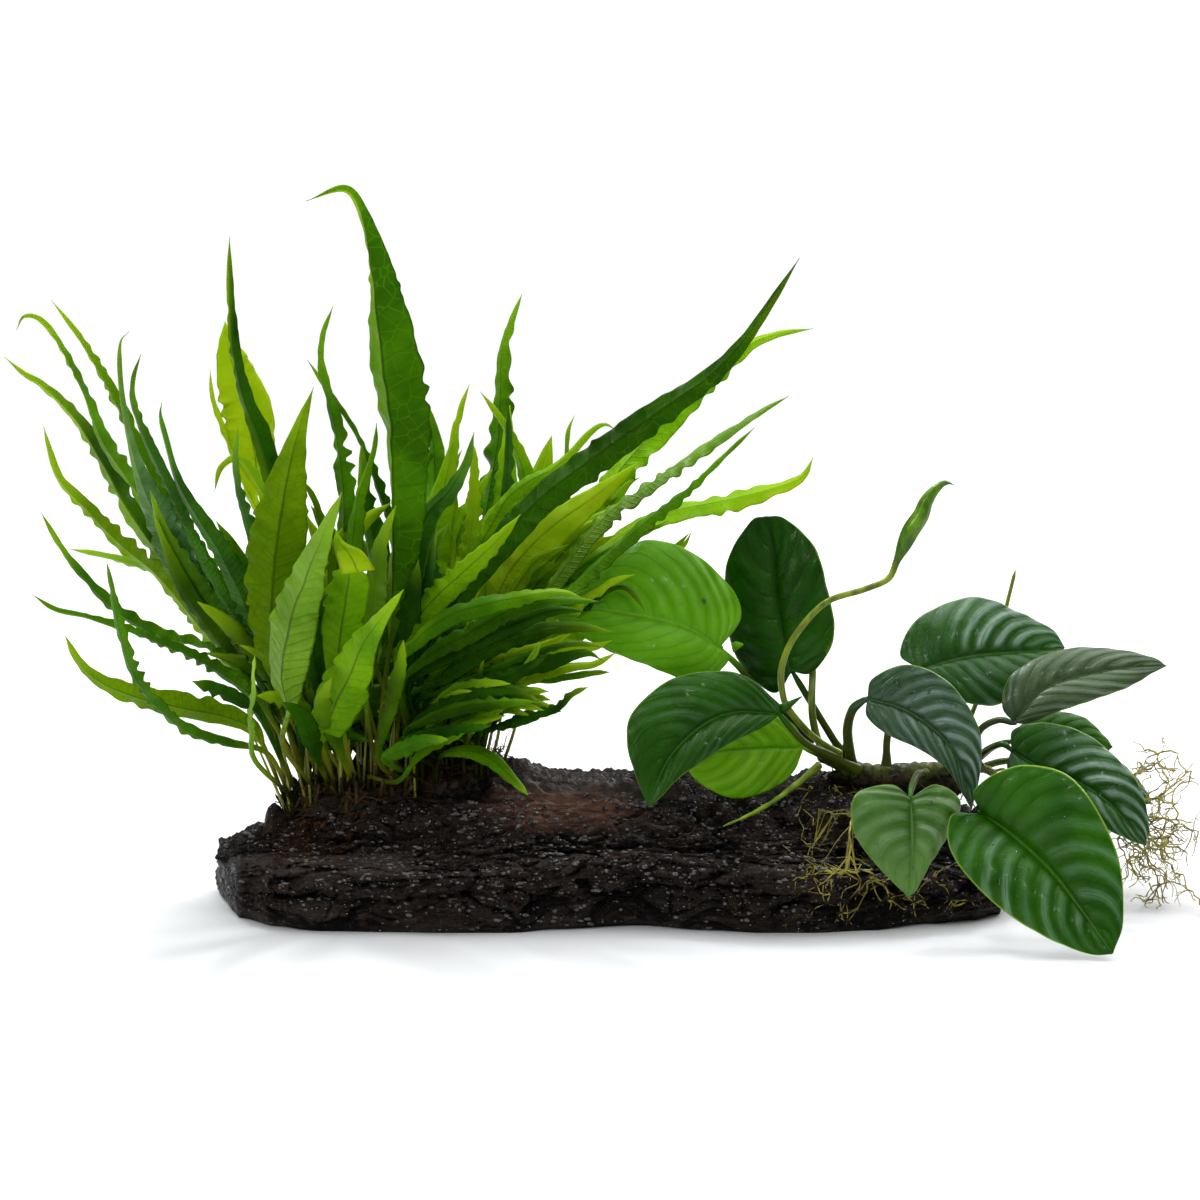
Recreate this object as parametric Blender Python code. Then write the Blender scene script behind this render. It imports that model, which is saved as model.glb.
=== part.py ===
"""A java fern and an anubias grown on one piece of driftwood, at their real size.

The driftwood lies along X with its flat underside on Z = 0, and its middle is the origin.
The front faces -Y. Sizes are in millimetres and become metres when a mesh is made.
"""

import math

import bmesh
import bpy
from mathutils import Vector, noise

OBJECT_NAME = "java_fern_on_driftwood"
METRES = 0.001

# The front view in which heights and widths were measured: it looks down by VIEW_TILT from
# VIEW_DISTANCE away, and its centre stands VIEW_CENTRE_UP above the driftwood's front foot.
VIEW_TILT = math.radians(12)
VIEW_DISTANCE = 1500
VIEW_CENTRE = Vector((0, 0, 104.8))
VIEW_CENTRE_UP = 110

# Driftwood: along its length, where its crest, its front edge and its back edge run.
WOOD_X = (-125.5, -112, -92, -72, -52, -30, -14, 12, 34, 54, 70, 90, 110, 124, 134)
WOOD_CREST = (20.5, 25, 34, 38, 41, 45, 41, 41, 41, 37, 40, 39, 36, 29, 15)
WOOD_RIDGE = (21, 23, 22, 21, 21, 22, 23, 24, 25, 24, 23, 21, 19, 15, 8)
WOOD_FRONT = (-23, -32, -36, -37, -38, -38, -35, -32, -36, -38, -38, -35, -30, -26, -18)
WOOD_BACK = (16, 26, 31, 33, 35, 36, 36, 36, 35, 34, 34, 32, 29, 25, 16)
WOOD_LIFT = (3, 1.5, 0, 0, 0, 0, 1, 2.5, 1, 0, 0, 0, 2.5, 3, 2)
WOOD_END_SLANT = 0.28
WOOD_SECTIONS = 25
WOOD_RING = 23
WOOD_UNDERSIDE = 5
WOOD_GRAIN = 3.0
LONG_GRAIN = (0.018, 0.9)
SHORT_GRAIN = (0.07, 2.1)
WOOD_HEART = Vector((0, 0, 14))
KNOBS = (
    ((-123, -4, 17), (-129, -8, 18), 3.0),
    ((-109, 2, 24), (-110, 4, 34), 4.5),
    ((-82, -22, 8), (-83, -34, 3), 2.0),
    ((121, 4, 20), (131, 10, 33), 4.0),
)

MAT_CENTRE = (-70, 13)
MAT_HALF_LENGTH = 38
MAT_HALF_WIDTH = 13
MAT_TURN = math.radians(10)
MAT_THICKNESS = 4.5
MAT_CLEARANCE = 2.3
FOOT_CLEARANCE = 1.3

STIPE_WIDTH = 1.9
BLADE_THICKNESS = 1.0
RING_STEP = 14
BLADE_FROM = 0.22
TIP_TAPER = 1.35
TIP_HALF_WIDTH = 0.4
PLAIN_FOLD = 0.2
MARGIN_WAVE = 0.05

# Each frond: where its foot stands on the wood, the middle of its blade as the front view shows it,
# as (across, up), the depth of its tip, the blade's width, its turn away from the viewer in degrees
# at the foot and at the tip, how far the blade is folded along its midrib, where it is widest, and
# how fast it tapers.
FRONDS = (
    dict(foot=(-104, 4.5), path=((-110.5, 58.5), (-124, 62.5), (-136.5, 66.5), (-146.5, 74.5),
                                 (-154.5, 85), (-159.5, 99.5), (-162.5, 113.5), (-164.5, 123)),
         back=-72, width=6, turn=(30, 45)),
    dict(foot=(-97, 4.5), path=((-105.5, 61.5), (-103.5, 74), (-104.5, 83.5), (-103.5, 93.5),
                                (-101.5, 105.5), (-98.5, 114.5), (-95, 124.5), (-86, 146)),
         back=-58, width=16.5, turn=(25, 10), fold=0.45, start=0.3, widest=0.3),
    dict(foot=(-90, 4.5), path=((-93.5, 64), (-90, 70.5), (-86.5, 78), (-82.5, 85.5), (-79.5, 93.5),
                                (-74.5, 101.5), (-65.5, 113.5)),
         back=-66, width=16, turn=(10, 5), widest=0.3, taper=1.6),
    dict(foot=(-83, 4.5), path=((-86.5, 70), (-87.5, 83.5), (-86.5, 99.5), (-84.5, 110),
                                (-83.5, 118.5), (-85, 125), (-88, 133.5)),
         back=-40, width=14, turn=(0, 10), widest=0.62, taper=0.9),
    dict(foot=(-76, 4.5), path=((-72, 80), (-68.5, 103.5), (-65.5, 126.5), (-64, 146.5),
                                (-64.5, 166.5), (-67.5, 185), (-70, 201.5), (-72.5, 218.5),
                                (-76.5, 233.5), (-84, 247), (-98, 243)),
         back=-38, width=21, turn=(35, 42), fold=0.75, widest=0.48, taper=1.9),
    dict(foot=(-69, 5.5), path=((-66, 73.5), (-53.5, 100.5), (-36.5, 124.5), (-20, 142.5),
                                (-3.5, 155.5), (15.5, 169.5), (34.5, 182.5), (45.5, 193), (55, 206),
                                (66.5, 224)),
         back=-34, width=11.5, turn=(10, 25), fold=0.3, widest=0.4, taper=1.5),
    dict(foot=(-62, 7.5), path=((-65.5, 76.5), (-64, 110), (-58, 136), (-50, 146), (-44.5, 155.5),
                               (-42, 166)),
         back=-12, width=10, turn=(20, 35)),
    dict(foot=(-55, 9.5), path=((-58, 73.5), (-50, 103), (-32, 141.5), (-14, 154.5), (-3.5, 165.5),
                               (1.5, 168.5), (5.5, 166.5)),
         back=6, width=6, turn=(20, 30)),
    dict(foot=(-48, 12), path=((-44, 72), (-30, 89.5), (-10, 98.5), (10, 112), (30, 132.5)),
         back=30, width=9, turn=(35, 45)),
    dict(foot=(-41, 14.5), path=((-42, 65.5), (-34.5, 67.5), (-25, 70.5), (-14.5, 74), (-9.5, 78.5),
                              (-4, 81)),
         back=-28, width=4.5, turn=(25, 40)),
    dict(foot=(-55, 5.5), path=((-52, 58.5), (-43.5, 59.5), (-36, 56.5), (-30.5, 51.5), (-24, 45)),
         back=-26, width=5.5, turn=(10, 30)),
    dict(foot=(-107, 8), path=((-114.5, 65.5), (-124, 71.5), (-137.5, 74.5), (-153, 78), (-166, 83),
                                (-173.5, 89.5), (-178.5, 98.5)),
         back=-38, width=10.5, turn=(20, 35), widest=0.4, taper=1.5),
    dict(foot=(-100, 8), path=((-112, 74), (-128.5, 88), (-152, 98.5), (-170.5, 104.5), (-181.5, 107),
                                (-189.5, 112)),
         back=-20, width=6, turn=(40, 45), widest=0.35, taper=1.8),
    dict(foot=(-93, 8), path=((-104, 77), (-109, 96.5), (-109, 113.5), (-107.5, 130), (-104.5, 148),
                               (-100.5, 165.5), (-95.5, 181)),
         back=-28, width=19.5, turn=(0, 12), fold=0.2, widest=0.46, taper=1.75),
    dict(foot=(-86, 8), path=((-98, 73.5), (-109.5, 106.5), (-116.5, 134), (-120.5, 147.5),
                               (-121.5, 158.5), (-120.5, 168.5)),
         back=-10, width=5.5, turn=(30, 45)),
    dict(foot=(-72, 9), path=((-78, 77), (-82.5, 110), (-80.5, 140), (-77.5, 152), (-75, 161.5),
                               (-74.5, 169)),
         back=-14, width=8, turn=(25, 45)),
    dict(foot=(-65, 11), path=((-72, 80), (-83.5, 115), (-84.5, 145), (-87.5, 168), (-92.5, 186.5),
                              (-92.5, 197.5), (-89, 208)),
         back=0, width=9, turn=(35, 50)),
    dict(foot=(-58, 13), path=((-46, 72), (-27, 96.5), (-4, 117.5), (13.5, 133.5), (28.5, 145.5),
                              (40, 156.5), (51.5, 167.5)),
         back=-12, width=6.5, turn=(45, 55)),
    dict(foot=(-51, 15), path=((-42, 78), (-20, 108), (1.5, 136), (17.5, 148), (35.5, 160.5),
                              (53.5, 172.5), (63, 178)),
         back=4, width=8.5, turn=(45, 55), taper=1.2),
    dict(foot=(-44, 17), path=((-38, 76), (-26, 83), (-12.5, 84), (-3.5, 85.5), (3.5, 86)),
         back=-4, width=4.5, turn=(30, 40)),
    dict(foot=(-103, 11.5), path=((-114, 77), (-128.5, 93.5), (-145.5, 98.5), (-159.5, 106),
                               (-169.5, 115.5), (-178.5, 126), (-186.5, 139.5)),
         back=4, width=5.5, turn=(35, 45)),
    dict(foot=(-96, 11.5), path=((-106, 77), (-116.5, 106), (-126, 126), (-134, 138.5), (-140.5, 150),
                              (-144.5, 163.5), (-146.5, 171.5), (-146, 176)),
         back=-8, width=9, turn=(10, 45), fold=0.3, widest=0.34, taper=2.0),
    dict(foot=(-89, 11.5), path=((-103, 77), (-120.5, 103.5), (-134, 127.5), (-143.5, 148), (-151.5, 165),
                              (-155.5, 176), (-155.5, 184), (-153, 192)),
         back=5, width=6, turn=(20, 50), taper=1.2),
    dict(foot=(-82, 12), path=((-103.5, 76.5), (-122.5, 95), (-133.5, 112.5), (-145.5, 134.5),
                              (-152.5, 150.5), (-156.5, 164), (-159.5, 180), (-160, 195),
                              (-157, 199.5)),
         back=26, width=14, turn=(10, 45), fold=0.25, widest=0.4, taper=4.2),
    dict(foot=(-75, 12.5), path=((-88, 95), (-101.5, 130.5), (-110.5, 144), (-116.5, 154), (-121, 157.5),
                              (-126.5, 154), (-128.5, 146)),
         back=6, width=5, turn=(25, 35)),
    dict(foot=(-68, 13.5), path=((-86, 82), (-102, 123), (-111.5, 160), (-118, 177.5), (-121.5, 193.5),
                              (-123, 209), (-123.5, 223.5), (-123.5, 231)),
         back=22, width=8, turn=(25, 35), taper=1.4),
    dict(foot=(-61, 15), path=((-63, 80), (-66.5, 123.5), (-73.5, 148), (-80, 163.5), (-86.5, 174),
                              (-97.5, 190)),
         back=22, width=5, turn=(35, 50)),
    dict(foot=(-54, 16.5), path=((-48, 78), (-33.5, 113), (-25, 140), (-25, 153.5), (-30, 165.5),
                               (-36, 174.5), (-40, 179.5)),
         back=26, width=9, turn=(20, 40), fold=0.3),
    dict(foot=(-47, 18.5), path=((-44, 80), (-33.5, 115), (-24.5, 143.5), (-20, 155.5), (-16, 165)),
         back=42, width=9, turn=(20, 35)),
    dict(foot=(-40, 20.5), path=((-30, 84), (-11.5, 113.5), (6, 130), (22.5, 138), (43.5, 142.5),
                               (62, 148), (68, 151.5), (71, 157.5)),
         back=34, width=10, turn=(40, 48), widest=0.66),
    dict(foot=(-92, 15.5), path=((-108, 77), (-131.5, 106.5), (-154.5, 138), (-164.5, 155.5),
                               (-174.5, 171), (-185.5, 181.5), (-192, 185.5), (-198.5, 191)),
         back=54, width=13.5, turn=(30, 55), taper=1.5),
    dict(foot=(-99, 15), path=((-112, 74), (-131.5, 100), (-146.5, 118.5), (-159, 129), (-169.5, 139.5),
                              (-179.5, 150), (-183.5, 160.5), (-185.5, 168)),
         back=42, width=9, turn=(35, 50)),
    dict(foot=(-85, 15.5), path=((-104, 80), (-129.5, 108.5), (-150.5, 142), (-164.5, 162.5),
                               (-171.5, 179.5), (-180, 195.5), (-186.5, 203.5), (-192, 204.5),
                               (-194.5, 200)),
         back=44, width=9, turn=(35, 55)),
    dict(foot=(-78, 16.5), path=((-98, 80), (-122, 110), (-144.5, 144.5), (-157.5, 170), (-164.5, 183.5),
                               (-172.5, 196.5), (-178.5, 204.5), (-183, 210)),
         back=56, width=8, turn=(35, 55)),
    dict(foot=(-71, 17), path=((-84, 80), (-100, 113.5), (-112, 141.5), (-115.5, 160), (-117.5, 172.5),
                               (-120.5, 182), (-123.5, 192.5), (-125, 203)),
         back=50, width=17, turn=(0, 0), fold=0.2, start=0.64, widest=0.44, taper=1.0),
    dict(foot=(-64, 18), path=((-80, 82), (-100, 116.5), (-116, 145), (-123.5, 162.5), (-128, 173.5),
                               (-129.5, 180), (-130, 187)),
         back=76, width=6, turn=(40, 50)),
    dict(foot=(-57, 19.5), path=((-58, 90), (-54.5, 130), (-54.5, 156.5), (-56.5, 170), (-59, 178)),
         back=56, width=11, turn=(20, 40), widest=0.55),
    dict(foot=(-50, 21), path=((-46, 84), (-39.5, 124), (-33.5, 160), (-32.5, 176.5), (-32, 192.5),
                               (-29.5, 202.5), (-26, 212)),
         back=66, width=11, turn=(35, 50), taper=1.1),
    dict(foot=(-43, 23), path=((-33, 90), (-7.5, 133), (21.5, 168.5), (46.5, 192), (57.5, 198),
                               (71, 200.5)),
         back=56, width=12, turn=(30, 45)),
    dict(foot=(-99, 18.5), path=((-116, 78), (-134, 101.5), (-146.5, 118.5), (-154.5, 122),
                               (-165.5, 125), (-177, 127)),
         back=62, width=5, turn=(30, 45)),
)

# Each anubias leaf: its petiole from the rhizome as points in the front view with their depth, its
# midrib from the joint to the tip, its two margins from the joint round each lobe to the tip, the
# depths of the joint and the tip, and how much deeper each margin lies where the leaf is widest.
LEAVES = (
    dict(petiole=((71, 63, 13), (63, 71, 11), (53, 80, 8), (46, 88, 4)),
         midrib=((40, 94), (28, 101), (11, 105), (-3, 107), (-16, 105)),
         sides=(((47, 104), (44, 114), (30, 126), (14, 130), (-3, 118)),
                ((43, 90), (34, 83), (18, 87), (0, 94.7), (-11, 101))),
         depth=(1, 1), lean=(12, -9)),
    dict(petiole=((79.5, 60.8, 15.5), (75, 68, 15), (69, 78, 15), (66, 83, 15)),
         midrib=((64, 86), (61, 101), (59, 114), (58, 127), (55, 138)),
         sides=(((58, 79), (47, 88), (41.5, 106), (42.5, 123), (50, 136)),
                ((71, 86), (78, 97), (76, 113), (72, 127), (62, 137))),
         depth=(14, 24), lean=(6, -2)),
    dict(petiole=((84, 54.5, 0), (76, 58.7, -4), (68, 62.7, -8)),
         midrib=((60, 72), (45, 72.5), (34, 68), (23, 57), (16, 41)),
         sides=(((58, 77), (45, 86), (25, 84), (11, 73), (9, 62), (12, 51)),
                ((55, 68), (45, 63), (37, 58), (27, 51), (20, 44))),
         depth=(-12, -32), lean=(5, -6)),
    dict(petiole=((80, 54, 4), (74, 58, 2)),
         midrib=((68, 61), (55, 61), (42, 60), (27, 57)),
         sides=(((65, 68), (56, 73), (44, 74), (33, 68)),
                ((64, 52), (55, 46), (44, 44), (33, 49))),
         depth=(0, -8), lean=(6, -3)),
    dict(petiole=((95.5, 56.8, 12), (95.9, 65, 12), (99, 76, 16)),
         midrib=((107, 87), (122, 91), (136, 92.5), (147, 93), (155, 94)),
         sides=(((100, 92), (106, 103.8), (123, 111), (140, 106), (151, 100)),
                ((105, 82), (116, 77), (131, 75), (142, 80), (150, 89))),
         depth=(20, 28), lean=(10, -8)),
    dict(petiole=((84, 55, 6), (82.5, 66, -2), (84, 73, -9), (87, 76, -12)),
         midrib=((89, 77), (100, 74), (111, 67), (119, 57), (124, 40)),
         sides=(((91, 84), (103, 88.5), (117, 82), (126, 68), (127, 54)),
                ((89, 71), (96, 65), (107, 60), (116, 53), (121, 45))),
         depth=(-14, -27), lean=(4, -3)),
    dict(petiole=((124, 60, 8), (127, 67, 5), (133, 70, 2)),
         midrib=((138, 69), (145, 78), (154, 83), (172, 87), (189, 88)),
         sides=(((134, 75), (138, 86), (156, 94), (172, 93.5), (184, 91)),
                ((144, 69), (156, 74), (169, 78), (178, 82), (185, 86))),
         depth=(-2, 6), lean=(7, -6)),
    dict(petiole=((108, 52, 2), (106, 52, -18), (104, 48, -34)),
         midrib=((103.5, 44), (104, 34), (104, 23), (103, 11)),
         sides=(((97, 48.5), (85, 45), (84, 34), (91, 23), (99, 14.5)),
                ((112, 48.5), (120, 43), (116, 31), (110, 22), (106, 14))),
         depth=(-41, -47), lean=(-3, 2)),
    dict(petiole=((127, 54, 6), (132, 51, -18), (131, 44, -36)),
         midrib=((127, 39), (137, 32), (150, 20), (161, 6), (171, -8)),
         sides=(((125, 47), (140, 55), (158, 50), (172, 27), (174.5, 4)),
                ((117, 38), (117, 26), (129, 11), (147, -1.7), (163, -8))),
         depth=(-42, -69), lean=(4, -5)),
    dict(petiole=((126, 57, 8), (129, 60, 0), (134, 62, -8)),
         midrib=((137, 60), (147, 54), (158, 50), (170, 42), (182, 28)),
         sides=(((138, 67), (150, 69), (166, 63), (179, 49), (183, 36)),
                ((136, 53), (144, 45), (156, 39), (168, 34), (176, 30))),
         depth=(-10, -26), lean=(6, -6)),
    dict(petiole=((125, 56, 14), (131, 61, 14)),
         midrib=((137, 63), (149, 65), (161, 64), (171, 61)),
         sides=(((141, 69), (151, 73), (161, 71), (168, 65)),
                ((140, 59), (150, 57), (160, 56), (167, 58))),
         depth=(14, 14), lean=(6, -4)),
    dict(petiole=((124, 53, 18), (133, 56, 22)),
         midrib=((142, 57), (156, 56), (170, 52), (184, 42)),
         sides=(((144, 60), (157, 61), (171, 57), (181, 48)),
                ((143, 53), (156, 51), (168, 47), (178, 42))),
         depth=(26, 30), lean=(14, -12)),
)
LEAF_THICKNESS = 1.2
LEAF_ARCH = 0.12
LEAF_STEPS = 10
LEAF_SAMPLES = 60
LAST_SHARE = 0.985
LOBE_FAN = 1.35
PETIOLE_RADIUS = 1.3
PETIOLE_STEPS = 4

RHIZOME_PATH = ((73, 59, 14), (80, 56, 13), (87, 53, 12), (96, 52.5, 12), (105, 53, 12), (114, 53.5, 12),
                (122, 55, 12))
RHIZOME_RADIUS = 2.9
RHIZOME_RINGS = 15
LEAF_STUB = ((82, 55, 12.5), (81.4, 59, 9.5), (81, 62.5, 9))
STUB_RADIUS = 0.9
OLD_PETIOLE = ((79, 56, 13), (73.5, 61.5, 9.5), (71, 70, 9.5), (70.6, 77, 11), (70.8, 84, 16.5), (71, 90, 20))
OLD_PETIOLE_RADIUS = 1.35

STALK_PATH = ((80, 58.5, 6), (76, 61, 5), (69.7, 65.7, 3), (62.7, 74, 1), (60.7, 80, 0), (60.7, 88, 0),
              (65, 98, 0), (75, 109, 1), (88, 113.5, 3), (96, 117, 4), (99, 123, 5))
STALK_RADIUS = 1.1
BUD_PATH = ((99, 123, 5), (102, 129.5, 5), (104, 133.5, 5), (107, 138, 5), (109, 143, 5), (112, 147, 5),
            (115, 149, 5), (118, 148.5, 5))
BUD_RADII = (1.1, 2.4, 3.05, 3.1, 2.75, 2.2, 1.2, 0.35)

SHOOT_PATH = ((119, 60, 22), (127, 80, 33), (134, 102, 39), (136, 110, 40), (138.5, 120, 40))
SHOOT_RADIUS = 0.9

AERIAL_ROOT_PATH = ((73, 55, 6), (66, 49, -2), (58, 43, -10), (50, 38.5, -16), (41, 34.5, -21))
AERIAL_ROOT_RADIUS = 1.4

ROOT_RADIUS = 0.75
FRONT_ROOTS = (
    ((90, 48, -2), (86, 42, -16), (83, 33, -34), (85, 24, -40), (91, 16, -40), (87, 4, -38)),
    ((84, 38, -24), (77, 39, -26), (72, 41, -25)),
    ((84, 28, -39), (77, 24, -40), (69, 25, -41)),
    ((89, 19, -40.5), (83, 18, -41), (77, 19, -41)),
    ((90, 17, -40.5), (98, 17, -38), (104, 10, -37), (110, 7, -34)),
    ((91, 15, -40), (99, 9, -39), (104, 3, -37)),
)
TUFT_ROOTS = (
    ((128, 54, 10), (142, 52, 4), (156, 46, 2), (168, 43, 3), (180, 36, 4), (190, 22, -4), (200, 9, -14)),
    ((165, 43.5, 3), (176, 50, 8), (183, 54, 10), (187, 60, 12)),
    ((170, 43, 3), (182, 44, 0), (192, 49, -2), (197, 55, -3)),
    ((178, 38, 4), (187, 37, 8), (196, 34, 12), (199, 29, 13)),
    ((183, 33, 4), (182, 24, 0), (186, 17, -4), (184, 10, -6)),
    ((176, 39, 4), (173, 30, 6), (176, 21, 9), (171, 13, 12)),
)

FERN_GREEN = (0.09, 0.24, 0.03)
ANUBIAS_GREEN = (0.04, 0.14, 0.03)
STALK_GREEN = (0.16, 0.3, 0.04)
ROOT_OLIVE = (0.35, 0.33, 0.1)
RHIZOME_BROWN = (0.14, 0.12, 0.05)
MAT_BROWN = (0.09, 0.055, 0.03)
WOOD_BLACK = (0.02, 0.014, 0.012)


def view_axes():
    """The front view's forward and up directions."""
    forward = Vector((0, math.cos(VIEW_TILT), -math.sin(VIEW_TILT)))
    upward = Vector((0, math.sin(VIEW_TILT), math.cos(VIEW_TILT)))
    return forward, upward


def seen(across, up, back):
    """The point seen this far across and up in the front view, at this depth behind the middle."""
    forward, upward = view_axes()
    eye = VIEW_CENTRE - VIEW_DISTANCE * forward
    target = VIEW_CENTRE + Vector((across, 0, 0)) + (up - VIEW_CENTRE_UP) * upward
    return eye + (target - eye) * ((back - eye.y) / (target.y - eye.y))


def lerp(a, b, t):
    return a + (b - a) * t


def at(stations, values, x):
    """The value at x on the smooth line through the values at their stations."""
    i = max(k for k in range(len(stations) - 1) if k == 0 or stations[k] <= x)
    t = min(max((x - stations[i]) / (stations[i + 1] - stations[i]), 0), 1)
    return lerp(values[i], values[i + 1], t * t * (3 - 2 * t))


def curve_point(points, place):
    """The point at this place, in spans, on a smooth curve through the points."""
    last = len(points) - 1
    i = min(int(place), last - 1)
    t = place - i
    b, c = points[i], points[i + 1]
    a = points[i - 1] if i > 0 else 2 * b - c
    d = points[i + 2] if i + 2 <= last else 2 * c - b
    return 0.5 * (2 * b + (c - a) * t + (2 * a - 5 * b + 4 * c - d) * t**2 + (3 * b - a - 3 * c + d) * t**3)


def smooth(points, count):
    """Count points, evenly spaced along a smooth curve through these points."""
    fine = 24
    spans = len(points) - 1
    dense = [curve_point(points, k / fine) for k in range(spans * fine + 1)]
    run = [0.0]
    for a, b in zip(dense, dense[1:]):
        run.append(run[-1] + (b - a).length)
    picked = []
    k = 0
    for n in range(count):
        wanted = run[-1] * n / (count - 1)
        while k < len(run) - 2 and run[k + 1] < wanted:
            k += 1
        share = (wanted - run[k]) / max(run[k + 1] - run[k], 1e-9)
        picked.append(dense[k].lerp(dense[k + 1], min(max(share, 0), 1)))
    return picked


def path_length(points):
    return sum((b - a).length for a, b in zip(points, points[1:]))


def material(name, colour, roughness):
    """A Principled material for one sub-part."""
    made = bpy.data.materials.new(name)
    made.use_nodes = True
    shader = made.node_tree.nodes["Principled BSDF"]
    shader.inputs["Base Color"].default_value = (*colour, 1)
    shader.inputs["Roughness"].default_value = roughness
    made.diffuse_color = (*colour, 1)
    return made


def add_object(name, mesh, colour, roughness, group):
    """Puts a mesh into the collection as a named object with its own material."""
    made = bpy.data.objects.new(name, mesh)
    mesh.materials.append(material(name, colour, roughness))
    group.objects.link(made)
    return made


def loft(name, rings):
    """A closed mesh through rings of as many points each, capped at both ends."""
    shell = bmesh.new()
    rows = [[shell.verts.new(p * METRES) for p in ring] for ring in rings]
    count = len(rows[0])
    for low, high in zip(rows, rows[1:]):
        for k in range(count):
            j = (k + 1) % count
            shell.faces.new((low[k], low[j], high[j], high[k]))
    shell.faces.new(rows[0][::-1])
    shell.faces.new(rows[-1])
    bmesh.ops.triangulate(shell, faces=shell.faces)
    bmesh.ops.recalc_face_normals(shell, faces=shell.faces)
    mesh = bpy.data.meshes.new(name)
    shell.to_mesh(mesh)
    shell.free()
    return mesh


def wood_outline(x):
    """The wood's section at x before its grain, from its front foot over the crest to the back foot."""
    crest, ridge = at(WOOD_X, WOOD_CREST, x), at(WOOD_X, WOOD_RIDGE, x)
    front, back = at(WOOD_X, WOOD_FRONT, x), at(WOOD_X, WOOD_BACK, x)
    lift = at(WOOD_X, WOOD_LIFT, x)
    rise = crest - ridge
    depth = back - front
    return [Vector((0, y, z)) for y, z in (
        (front + 2, lift),
        (front + 1, lift + 0.2 * (ridge - lift)),
        (front, 0.6 * ridge),
        (front + 1.5, ridge - 2),
        (front + 0.1 * depth, ridge + 0.5),
        (front + 0.3 * depth, ridge + 0.2 * rise),
        (front + 0.52 * depth, ridge + 0.72 * rise),
        (front + 0.74 * depth, crest),
        (back - 0.1 * depth, crest - 0.15 * crest),
        (back, 0.55 * crest),
        (back - 1, 0.2 * crest),
        (back - 5, 0),
    )]


def wood_ring(x):
    """The driftwood's section at x with its long grain ridges and its flat underside."""
    upper = smooth(wood_outline(x), WOOD_RING - WOOD_UNDERSIDE)
    ring = []
    for k, p in enumerate(upper):
        inset = min(k, len(upper) - 1 - k, 3) / 3
        outward = (p - WOOD_HEART).normalized()
        long_ridges = noise.noise(Vector((LONG_GRAIN[0] * x, LONG_GRAIN[1] * k, 3)))
        short_ridges = noise.noise(Vector((SHORT_GRAIN[0] * x, SHORT_GRAIN[1] * k, 8)))
        ring.append(p + outward * (WOOD_GRAIN * (long_ridges + 0.5 * short_ridges) * inset))
    first, last = upper[0].y + 4, upper[-1].y - 2
    for k in range(WOOD_UNDERSIDE):
        ring.append(Vector((0, lerp(last, first, k / (WOOD_UNDERSIDE - 1)), 0)))
    left_weight = max(0, 1 - (x - WOOD_X[0]) / 24)
    return [Vector((x + WOOD_END_SLANT * left_weight * -p.y, p.y, p.z)) for p in ring]


def wood_top(x, y):
    """The height of the driftwood's upper surface over this place."""
    ring = wood_ring(x)[: WOOD_RING - WOOD_UNDERSIDE]
    heights = [lerp(a.z, b.z, (y - a.y) / (b.y - a.y)) for a, b in zip(ring, ring[1:])
               if min(a.y, b.y) <= y <= max(a.y, b.y) and a.y != b.y]
    return max(heights)


def end_ring(ring, share, step):
    """A smaller ring beside an end ring, so that the wood's end is rounded and not sawn."""
    centre = sum(ring, Vector()) / len(ring)
    shrunk = []
    for p in ring:
        flat = Vector((centre.x + (p.x - centre.x) * share + step, centre.y + (p.y - centre.y) * share,
                       max(p.z * share + centre.z * (1 - share), 0)))
        shrunk.append(flat)
    return shrunk


def driftwood(group):
    """The wood's long lofted body, with its knobs joined on."""
    stations = [lerp(WOOD_X[0], WOOD_X[-1], k / (WOOD_SECTIONS - 1)) for k in range(WOOD_SECTIONS)]
    rings = [wood_ring(x) for x in stations]
    rings.insert(0, end_ring(rings[0], 0.6, -0.8))
    rings.append(end_ring(rings[-1], 0.6, 1.2))
    body = add_object("driftwood", loft("driftwood", rings), WOOD_BLACK, 0.35, group)
    for number, (foot, tip, radius) in enumerate(KNOBS, start=1):
        knob = cone_between(f"wood_knob_{number}", Vector(foot), Vector(tip), radius, 0.35 * radius)
        join(body, knob)
    return body


def cone_between(name, foot, tip, foot_radius, tip_radius):
    """A closed tapering stub between two points."""
    shell = bmesh.new()
    length = (tip - foot).length
    bmesh.ops.create_cone(shell, cap_ends=True, segments=7, radius1=foot_radius * METRES,
                          radius2=tip_radius * METRES, depth=length * METRES)
    turn = Vector((0, 0, 1)).rotation_difference(tip - foot).to_matrix().to_4x4()
    bmesh.ops.transform(shell, matrix=turn, verts=shell.verts)
    bmesh.ops.translate(shell, vec=(foot + tip) / 2 * METRES, verts=shell.verts)
    mesh = bpy.data.meshes.new(name)
    shell.to_mesh(mesh)
    shell.free()
    made = bpy.data.objects.new(name, mesh)
    bpy.context.scene.collection.objects.link(made)
    return made


def join(body, piece):
    """Adds a piece to a body with a Boolean union and removes the loose piece."""
    union = body.modifiers.new("union", "BOOLEAN")
    union.operation = "UNION"
    union.solver = "EXACT"
    union.object = piece
    bpy.context.view_layer.update()
    evaluated = body.evaluated_get(bpy.context.evaluated_depsgraph_get())
    joined = bpy.data.meshes.new_from_object(evaluated)
    body.modifiers.clear()
    body.data = joined
    bpy.data.objects.remove(piece)


def mat_place(across, along):
    """World x and y of a place on the rhizome mat, from its own long and short directions."""
    x = MAT_CENTRE[0] + along * math.cos(MAT_TURN) - across * math.sin(MAT_TURN)
    y = MAT_CENTRE[1] + along * math.sin(MAT_TURN) + across * math.cos(MAT_TURN)
    return x, y


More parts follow.
